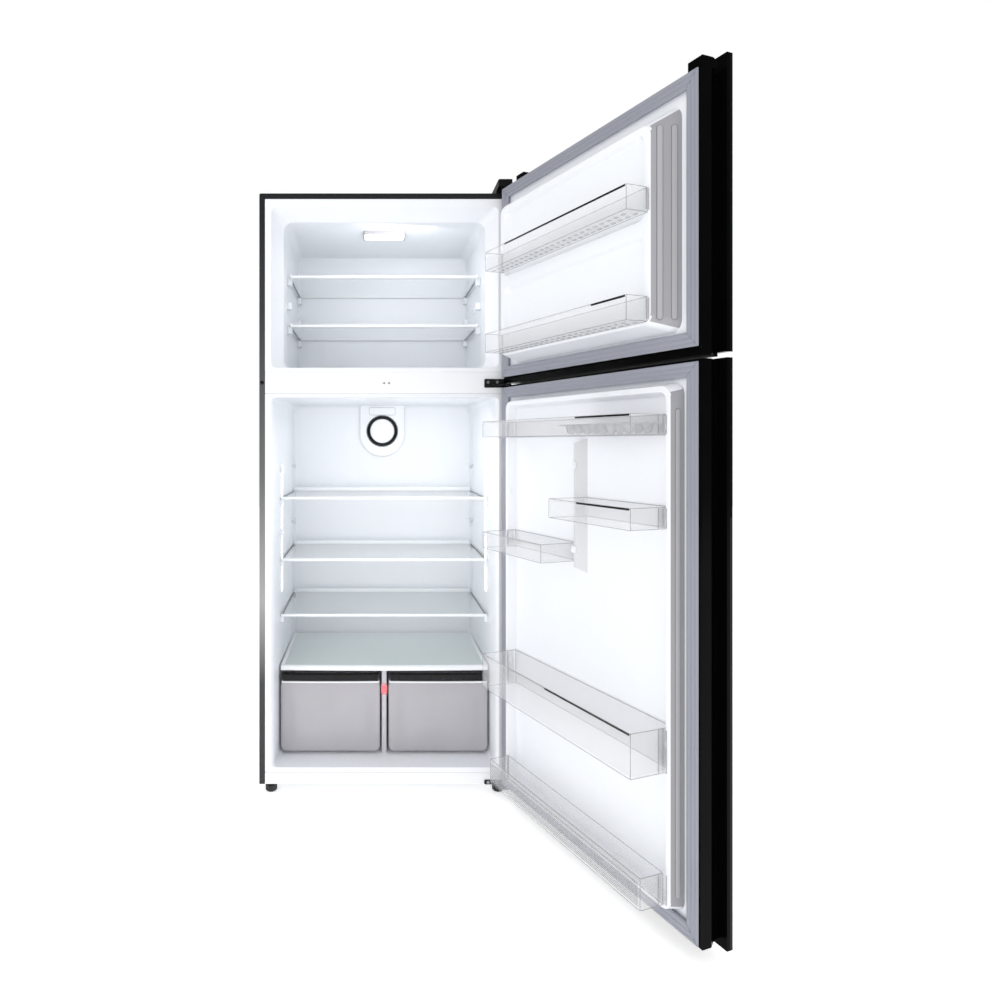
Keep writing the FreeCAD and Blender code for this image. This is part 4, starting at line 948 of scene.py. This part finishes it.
def freezer_door():
    rim = FREEZER_RIM
    recesses = [(-257, 257, 1412, 1584, 34, 9), (-257, 257, 1223, 1385, 34, 9)]
    liner = door_liner("freezer", rim, recesses)
    slope_ribs(liner, rim, (0.30, 0.74), 13.0, 1216, 1592)
    piece("freezer_door_skin", liner, "freezer_door", "liner_white",
          SKIN_FINISHES[:RAIL_SHADE_SLOT], replaces=["freezer_door_liner", "freezer_door_foam"])
    gasket("freezer")
    door_rim("freezer")

    box = Span("freezer_door_bins", True)
    y0, y1 = box.y0, box.y1
    free, hinge = FREEZER_BIN_ENDS
    for label, z0, z1, reflection_end in FREEZER_BINS:
        bin_ = Maker()
        tray(bin_, free, hinge, y0 + 0.5, y1 - 0.3, z0, z1, 2.2, 5, 1.0, 3)
        for a, b in ((free - 3, free + 2), (hinge - 1, hinge + 5)):
            bin_.block("y", a, b, z0 + 3, z1 - 2, y0, y0 + 3, 1.5, 1)
        bin_.block("y", -257, 257, z1 - 4.5, z1 - 0.4, y1 - 3.4, y1 - 0.1, 1, 0.8)
        edges = Maker()
        bin_edges(edges, free, hinge, y0 + 0.5, y1 - 0.3, z0, z1)
        for y in (y0 + 1, y0 + 7):
            edges.tube([(free - 1.5, y, z) for z in (z0 + 5, z1 - 4)], 0.9, 6)
        piece(f"freezer_bin_{label}_edges", edges, *ON_FREEZER_DOOR, [CLEAR_EDGE_SHADE])
        piece(f"freezer_bin_{label}", bin_, *ON_FREEZER_DOOR, [CLEAR],
              replaces=["freezer_door_bins"] if label == "lower" else ())
        # A painted dark reflection along part of the bin's rim.
        dark_reflection = Maker()
        dark_reflection.block("y", free + 3, reflection_end, z1 - 4.6, z1 - 0.6, y1 - 0.6, y1, 1, 0.2)
        piece(f"freezer_bin_{label}_strip", dark_reflection, *ON_FREEZER_DOOR, [BLACK])
        dots = Maker()
        for row in range(2):
            y = y0 + 17 + row * 20
            for i in range(24):
                x = -252 + i * 21 + 10.5 * row
                dots.block("z", x - 6, x + 6, y - 4, y + 4, z0 - 0.9, z0 + 0.4, 3.8, 0.5, 3)
        piece(f"freezer_bin_{label}_dots", dots, *ON_FREEZER_DOOR, [CLEAR_DOT])


def fridge_door():
    rim = FRIDGE_RIM
    half, low, high = rim["crest"]
    recesses = [(-half + 10, half - 10, low + 10, high - 10, rim["floor"], 10)]
    liner = door_liner("fridge", rim, recesses)
    slope_ribs(liner, rim, (0.5,), 11.0, 108, 1046)
    # The middle rail in a light painted shade.
    liner.slot = RAIL_SHADE_SLOT
    floor, crest = rim["floor"], rim["rise"] - 3
    rows = []
    for x, share, z0, z1 in RAIL:
        y = floor + (crest - floor) * share
        rows.append([(x, y, z0), (x, y, z1), (x, floor - 1, z1 + 1), (x, floor - 1, z0 - 1)])
    liner.grid(rows, True, (True, True))
    liner.slot = 0
    for x, heights in HOOKS:
        for z in heights:
            if abs(x) > half / 2:
                lug(liner, x, z, crest - 6, 9, 18)
            else:
                lug(liner, x, z, crest)
    piece("fridge_door_skin", liner, "fridge_door", "liner_white", SKIN_FINISHES,
          replaces=["fridge_door_liner", "fridge_door_foam"])
    gasket("fridge")
    door_rim("fridge")

    for name in FRIDGE_BINS:
        box = Span(name, True)
        free = box.x0 < -200
        hinge = box.x1 > 200
        x0 = box.x0 + (8 if free else 0)
        x1 = box.x1 - (8 if hinge else 0)
        y0, y1, z0, z1 = box.y0, box.y1, box.z0, box.z1
        bin_ = Maker()
        tray(bin_, x0, x1, y0 + 0.2, y1 - 0.3, z0, z1, 2.2, 5, 0.8, 4)
        if free:
            bin_.block("y", box.x0 + 0.2, x0 + 2, z0 + 2, z1 - 1, 17.0, 20.0, 2, 1)
            bin_.block("x", 18, 32, z0 + 1, z1 - 1, x0 - 1.6, x0 + 0.4, 2, 0.8)
        if hinge:
            bin_.block("y", x1 - 2, box.x1 - 0.2, z0 + 2, z1 - 1, 17.0, 20.0, 2, 1)
        bin_.block("y", x0 + 2, x1 - 2, z1 - 4.5, z1 - 0.4, y1 - 3.4, y1 - 0.1, 1, 0.8)
        edges = Maker()
        bin_edges(edges, x0, x1, y0 + 0.2, y1 - 0.3, z0, z1)
        for end, sign, there in ((box.x0, 1, free), (box.x1, -1, hinge)):
            if there:
                for y, inset in ((17.4, 1), (31, 7)):
                    edges.tube([(end + sign * inset, y, z) for z in (z0 + 3, z1 - 2)], 0.9, 6)
        piece(f"{name}_edges", edges, *ON_FRIDGE_DOOR, [CLEAR_EDGE_SHADE])
        piece(f"{name}_tray", bin_, *ON_FRIDGE_DOOR, [CLEAR], replaces=[name])
        if name == "bottom_bin":
            # Ribs on the bin's front, in the grey painted shade.
            ribs = Maker()
            for i in range(12):
                z = z0 + 8 + i * 4
                ribs.block("y", x0 + 6, x1 - 6, z, z + 1.6, y1 - 0.7, y1, 0.7, 0.3, 2)
            piece(f"{name}_ribs", ribs, *ON_FRIDGE_DOOR, [CLEAR_EDGE_SHADE])
        # A painted dark reflection along part of the bin's rim.
        if name in DARK_REFLECTION_SHARES:
            dark_reflection = Maker()
            end = x0 + 3 + (x1 - x0 - 6) * DARK_REFLECTION_SHARES[name]
            dark_reflection.block("y", x0 + 3, end, z1 - 4.6, z1 - 0.8, y1 - 0.6, y1, 1, 0.2)
            piece(f"{name}_strip", dark_reflection, *ON_FRIDGE_DOOR, [BLACK])

    box = Span("egg_tray", True)
    cups = Maker()
    z = box.z1
    cups.block("z", box.x0, box.x1, box.y0, box.y1, z - 3, z - 1.2, 6, 0.6)
    columns = 8
    pitch = (box.x1 - box.x0) / columns
    for column in range(columns):
        x = box.x0 + pitch * (column + 0.5)
        for share in (0.27, 0.73):
            y = box.y0 + (box.y1 - box.y0) * share
            cups.lathe("z", x, y, [(13.2, z - 1.6), (14.2, z - 0.2), (13.4, z), (12.6, z - 0.4),
                                   (11.2, z - 8), (8.5, z - 16), (5, z - 20.5), (1, z - 21.2)], 24,
                       (False, True))
    piece("egg_cups", cups, *ON_FRIDGE_DOOR, [CLEAR_DOT], replaces=["egg_tray"])


def soften(names, width):
    """Rounds the edges of CAD nodes that keep their own shape."""
    for name in names:
        edge = frame["nodes"][name].modifiers.new("edges", "BEVEL")
        edge.width = width * MM
        edge.segments = 2
        edge.limit_method = "ANGLE"
        edge.angle_limit = math.radians(35)


freezer_inside()
duct()
shelf_edges()
lights()
crisper()
front_panels()
freezer_door()
fridge_door()
soften(("top_hinge_cover", "freezer_door_panel", "fridge_door_panel", "base_pan",
        "centre_hinge_bracket", "bottom_hinge_bracket", "top_hinge_bracket",
        "levelling_foot_left", "levelling_foot_right", "rear_roller_left", "rear_roller_right",
        "lamp_lens", "side_lights", "rear_bay_cover", "mains_cord_gland"), 0.6)


# ---- view and light
def area(name, place, aim, size, power):
    """A soft square light that faces a point, and is not seen itself."""
    light = bpy.data.lights.new(name, "AREA")
    light.size = size
    light.energy = power
    made = show(name, light)
    made.location = place
    made.rotation_euler = (Vector(aim) - Vector(place)).to_track_quat("-Z", "Y").to_euler()
    made.visible_camera = False
    made.visible_glossy = False


def studio():
    scene = bpy.context.scene
    camera = show("camera", bpy.data.cameras.new("camera"))
    camera.location = (-0.0384, -1.987, 0.9789)
    camera.rotation_euler = (math.pi / 2, 0, 0)
    camera.data.lens = 25.675
    camera.data.sensor_width = 36.0
    camera.data.shift_x = 0.1265
    camera.data.shift_y = -0.0566
    camera.data.clip_start = 0.01
    scene.camera = camera
    scene.view_settings.view_transform = "Standard"

    world = bpy.data.worlds.new("studio")
    world.use_nodes = True
    tree = world.node_tree
    sky = tree.nodes["Background"]
    adjust(sky, Color=(1.0, 1.0, 1.0, 1.0))
    path = add(tree, "LightPath")
    strength = add(tree, "MapRange", To_Min=0.9, To_Max=0.24)
    tree.links.new(path.outputs["Is Glossy Ray"], strength.inputs["Value"])
    seen = add(tree, "Math")
    seen.operation = "MAXIMUM"
    tree.links.new(strength.outputs["Result"], seen.inputs[0])
    tree.links.new(path.outputs["Is Camera Ray"], seen.inputs[1])
    tree.links.new(seen.outputs["Value"], sky.inputs["Strength"])
    scene.world = world
    area("key", (-2.2, -3.4, 2.3), (0.1, 0.2, 0.9), 2.2, 15.0)
    area("fill", (-0.3, -3.9, 1.1), (0.0, 0.4, 0.85), 1.8, 10.0)
    area("fridge_light", (0.05, 0.03, 1.09), (0.0, 0.34, 0.55), 0.3, 1.38)
    area("freezer_light", (0.05, 0.04, 1.58), (0.0, 0.35, 1.3), 0.2, 0.75)

    floor = Maker()
    floor.block("z", -9000, 9000, -9000, 9000, -20, 0, 10, 4)
    mesh = bpy.data.meshes.new("floor")
    floor.bm.transform(Matrix.Scale(MM, 4))
    floor.bm.to_mesh(mesh)
    mesh.materials.append(finish("floor", (0.93, 0.93, 0.93), 0.6, vary=0.01, patch=2.0,
                                 Emission_Color=(1.0, 1.0, 1.0, 1.0), Emission_Strength=0.55))
    made = show("floor", mesh)


studio()
